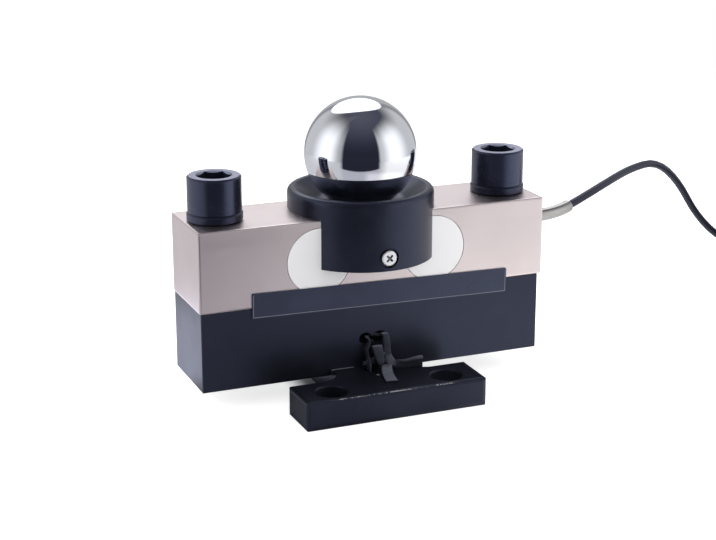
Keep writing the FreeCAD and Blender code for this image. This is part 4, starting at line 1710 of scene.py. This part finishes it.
    def dress(self) -> None:
        """Finishes the gland, the sleeve and the pieces on the cable."""
        gland = GroundMetal(
            "gland_nickel",
            light=(0.66, 0.64, 0.61),
            dark=(0.56, 0.54, 0.52),
            roughness=0.3,
            pitch=self.metal_grain,
        )
        dress_nodes(["cable_gland", "gland_nut"], gland.material())
        sleeve = GroundMetal(
            "sleeve_steel",
            light=(0.44, 0.425, 0.40),
            dark=(0.37, 0.355, 0.34),
            roughness=0.32,
            pitch=self.metal_grain,
        )
        dress_nodes(["cable_sleeve"], sleeve.material())
        tints = {
            "gland_seal": Tinted("seal_rubber", srgb(24, 24, 25), roughness=0.7),
            "coil_ties": Tinted("tie_band", srgb(34, 34, 37), roughness=0.5),
            "cable_end_sleeve": Tinted("end_sleeve", srgb(26, 26, 28), roughness=0.55),
            "lead_red": Tinted("lead_red", srgb(176, 34, 30), roughness=0.4),
            "lead_black": Tinted("lead_black", srgb(26, 26, 27), roughness=0.4),
            "lead_green": Tinted("lead_green", srgb(32, 120, 62), roughness=0.4),
            "lead_white": Tinted("lead_white", srgb(222, 221, 215), roughness=0.4),
        }
        for name, tint in tints.items():
            dress_nodes([name], tint.material())


@dataclass(frozen=True)
class Strand:
    """A stretch of tape, in millimetres.

    Attributes:
        line: Points of its middle line, each with the direction of its width there and the width.
    """

    line: tuple[tuple[Place, Place, float], ...]

    def places(self) -> np.ndarray:
        """The points of the middle line, in metres."""
        return np.array([place for place, side, width in self.line]) / 1000

    def sides(self) -> np.ndarray:
        """The direction of the width at each point."""
        return np.array([side for place, side, width in self.line], dtype=float)

    def widths(self) -> np.ndarray:
        """The width at each point, in metres, as a column."""
        return np.array([[width] for place, side, width in self.line]) / 1000


@dataclass
class TransportTie:
    """The flat woven tie that holds the plate to the base, knotted before the base.

    Attributes:
        width_power, thickness_power: How full the tape's section is to its sides and to its faces.
    """

    thickness: float = 0.0011
    width_power: float = 0.5
    thickness_power: float = 0.8
    crease_degrees: float = 60.0
    rows: int = 120
    columns: int = 24
    right_strand: Strand = Strand(
        (
            ((-1.9, -19.8, 32.0), (0.82, 0.57, 0.0), 4.0),
            ((0.9, -23.8, 32.6), (0.85, 0.5, 0.1), 4.0),
            ((3.0, -26.4, 34.3), (1.0, 0.2, 0.0), 3.6),
            ((3.9, -27.9, 33.0), (1.0, 0.0, 0.0), 4.0),
            ((4.2, -28.4, 29.5), (1.0, 0.0, 0.0), 4.4),
            ((4.3, -28.6, 25.8), (1.0, 0.0, 0.0), 4.6),
            ((4.2, -29.6, 22.4), (1.0, 0.0, 0.15), 5.0),
            ((4.6, -32.4, 19.8), (0.8, 0.3, 0.5), 5.2),
            ((5.6, -35.2, 18.7), (0.5, 0.6, 0.6), 5.0),
            ((8.2, -37.4, 18.9), (0.0, 0.4, 0.9), 4.8),
            ((12.0, -39.1, 19.2), (0.0, 0.15, 0.98), 5.1),
            ((16.8, -40.4, 19.8), (0.0, 0.0, 1.0), 6.4),
            ((20.7, -41.0, 19.9), (0.0, 0.0, 1.0), 6.8),
        )
    )
    tail_fold: Strand = Strand(
        (
            ((9.0, -38.3, 20.6), (0.0, -0.7, -0.7), 1.6),
            ((12.0, -39.8, 21.1), (0.0, -0.7, -0.7), 2.2),
            ((16.8, -41.2, 22.3), (0.0, -0.7, -0.7), 2.6),
            ((20.6, -41.8, 22.6), (0.0, -0.7, -0.7), 2.6),
        )
    )
    front_strap: Strand = Strand(
        (
            ((-1.9, -26.2, 23.0), (1.0, 0.0, 0.0), 6.0),
            ((-2.1, -27.4, 26.8), (1.0, 0.0, 0.0), 6.4),
            ((-2.1, -29.4, 28.2), (1.0, 0.0, -0.05), 6.5),
            ((-2.0, -31.0, 25.8), (1.0, 0.0, -0.05), 6.0),
            ((-1.5, -31.9, 22.2), (1.0, 0.0, 0.0), 5.2),
            ((-0.9, -33.0, 18.6), (1.0, 0.0, 0.0), 4.0),
            ((-0.2, -33.2, 15.6), (1.0, 0.0, 0.0), 3.2),
            ((0.8, -32.8, 12.0), (1.0, 0.0, 0.0), 2.8),
        )
    )
    stub: Strand = Strand(
        (
            ((3.0, -33.2, 17.6), (1.0, 0.0, 0.0), 4.6),
            ((1.0, -36.6, 18.4), (1.0, 0.1, 0.0), 5.6),
            ((-0.9, -40.6, 18.6), (0.97, -0.2, 0.0), 6.2),
            ((-2.2, -45.0, 17.3), (0.97, -0.2, 0.0), 6.4),
            ((-3.5, -51.0, 16.8), (0.97, -0.2, 0.0), 6.6),
            ((-4.4, -56.6, 16.7), (0.98, 0.0, 0.0), 6.8),
        )
    )
    left_strand: Strand = Strand(
        (
            ((-4.0, -20.2, 31.8), (-0.82, 0.57, 0.0), 3.0),
            ((-6.2, -24.4, 32.0), (-0.7, 0.5, 0.5), 3.0),
            ((-6.0, -26.8, 31.0), (0.15, -1.0, 0.3), 3.0),
            ((-6.9, -27.6, 28.4), (0.25, -1.0, 0.0), 3.2),
            ((-8.0, -28.0, 26.0), (0.25, -1.0, 0.0), 3.2),
            ((-7.4, -28.6, 22.6), (0.3, -1.0, 0.0), 3.2),
            ((-7.4, -30.4, 19.0), (0.2, -1.0, -0.2), 3.6),
            ((-7.9, -32.4, 14.5), (0.0, -1.0, 0.0), 4.6),
            ((-8.0, -32.5, 4.5), (0.0, -1.0, 0.0), 5.0),
            ((-6.6, -32.5, 1.4), (0.0, -1.0, 0.0), 5.0),
            ((-3.0, -32.5, 1.1), (0.0, -1.0, 0.0), 5.0),
            ((0.6, -32.5, 1.4), (0.0, -1.0, 0.0), 5.0),
            ((2.0, -32.5, 4.5), (0.0, -1.0, 0.0), 5.0),
            ((2.4, -32.3, 13.5), (0.0, -1.0, 0.0), 4.6),
            ((2.0, -31.2, 18.0), (0.1, -1.0, 0.0), 4.0),
            ((0.6, -29.4, 21.0), (0.4, -1.0, 0.0), 4.0),
        )
    )
    knot_wrap: Strand = Strand(
        (
            ((-9.6, -27.6, 18.2), (0.0, 0.5, 0.8), 2.4),
            ((-7.6, -29.8, 19.0), (0.0, 0.2, 1.0), 3.0),
            ((-3.0, -30.4, 20.6), (0.0, 0.0, 1.0), 4.0),
            ((1.6, -29.8, 21.6), (0.0, 0.0, 1.0), 4.6),
            ((4.8, -27.4, 21.6), (0.0, 0.0, 1.0), 4.6),
            ((5.4, -25.8, 21.2), (0.0, 0.0, 1.0), 4.6),
        )
    )
    loose_end: Strand = Strand(
        (
            ((-3.4, -20.6, 33.0), (0.82, 0.57, 0.0), 2.2),
            ((-1.4, -23.4, 33.5), (0.82, 0.57, 0.0), 2.2),
            ((-0.2, -25.6, 33.9), (0.9, 0.3, 0.0), 2.2),
        )
    )

    def tape(self, strand: Strand) -> Grid:
        """A stretch of tape: a flat rounded section carried along its middle line.

        At turn a the section lies sign(cos a) |cos a|^w half widths to the side and sign(sin a) |sin a|^t
        half thicknesses off its middle, with w the width's power and t the thickness's.

        Args:
            strand: The stretch.

        Returns:
            The closed surface.
        """
        share = np.linspace(0, 1, self.rows)
        middle = line_through(strand.places(), share)
        ahead = unit(np.gradient(middle, axis=0))
        side = line_through(strand.sides(), share)
        side = unit(side - ahead * np.sum(side * ahead, axis=1, keepdims=True))
        face = np.cross(ahead, side)
        width = line_through(strand.widths(), share)
        turn = np.linspace(0, math.tau, self.columns + 1)
        wide = np.sign(np.cos(turn)) * np.abs(np.cos(turn)) ** self.width_power / 2
        thick = np.sign(np.sin(turn)) * np.abs(np.sin(turn)) ** self.thickness_power * self.thickness / 2
        reach = (side * width)[:, None]
        points = middle[:, None] + reach * wide[:-1, None] + face[:, None] * thick[:-1, None]
        around = lengths_along(np.stack([wide * width.mean(), thick], axis=-1))
        return Grid(points, lengths_along(middle), around, Caps.BOTH)

    def build(self) -> None:
        """Makes the knotted tie from its stretches of tape."""
        strands = (
            self.right_strand,
            self.tail_fold,
            self.front_strap,
            self.stub,
            self.left_strand,
            self.knot_wrap,
            self.loose_end,
        )
        tapes = [self.tape(strand) for strand in strands]
        tie = mesh_piece("transport_tie", tapes, self.crease_degrees)
        # upper is the painted highlight tone of the tape's up-facing faces.
        weave = WovenTape(
            "tie_tape", thread=srgb(38, 41, 51), shade=srgb(22, 24, 32), upper=srgb(92, 95, 106)
        )
        dress(tie, weave.material())
        add_to_object(tie, ("tie_strap",))


def main() -> None:
    """Builds the camera, the cable, the studio and every finish, and reports each piece."""
    logging.basicConfig(level=logging.INFO, format="%(name)s: %(message)s")
    PhotoCamera().build()
    cable = SignalCable()
    cable.build()
    cable.dress()
    Studio().build()
    ShearBeam().dress()
    ConverterBoard().dress()
    BaseAndPlate().dress()
    seating = BallSeating()
    seating.build()
    seating.dress()
    BoltSet().dress()
    plate = Nameplate()
    plate.build()
    plate.dress()
    TransportTie().build()


if __name__ == "__main__":
    main()
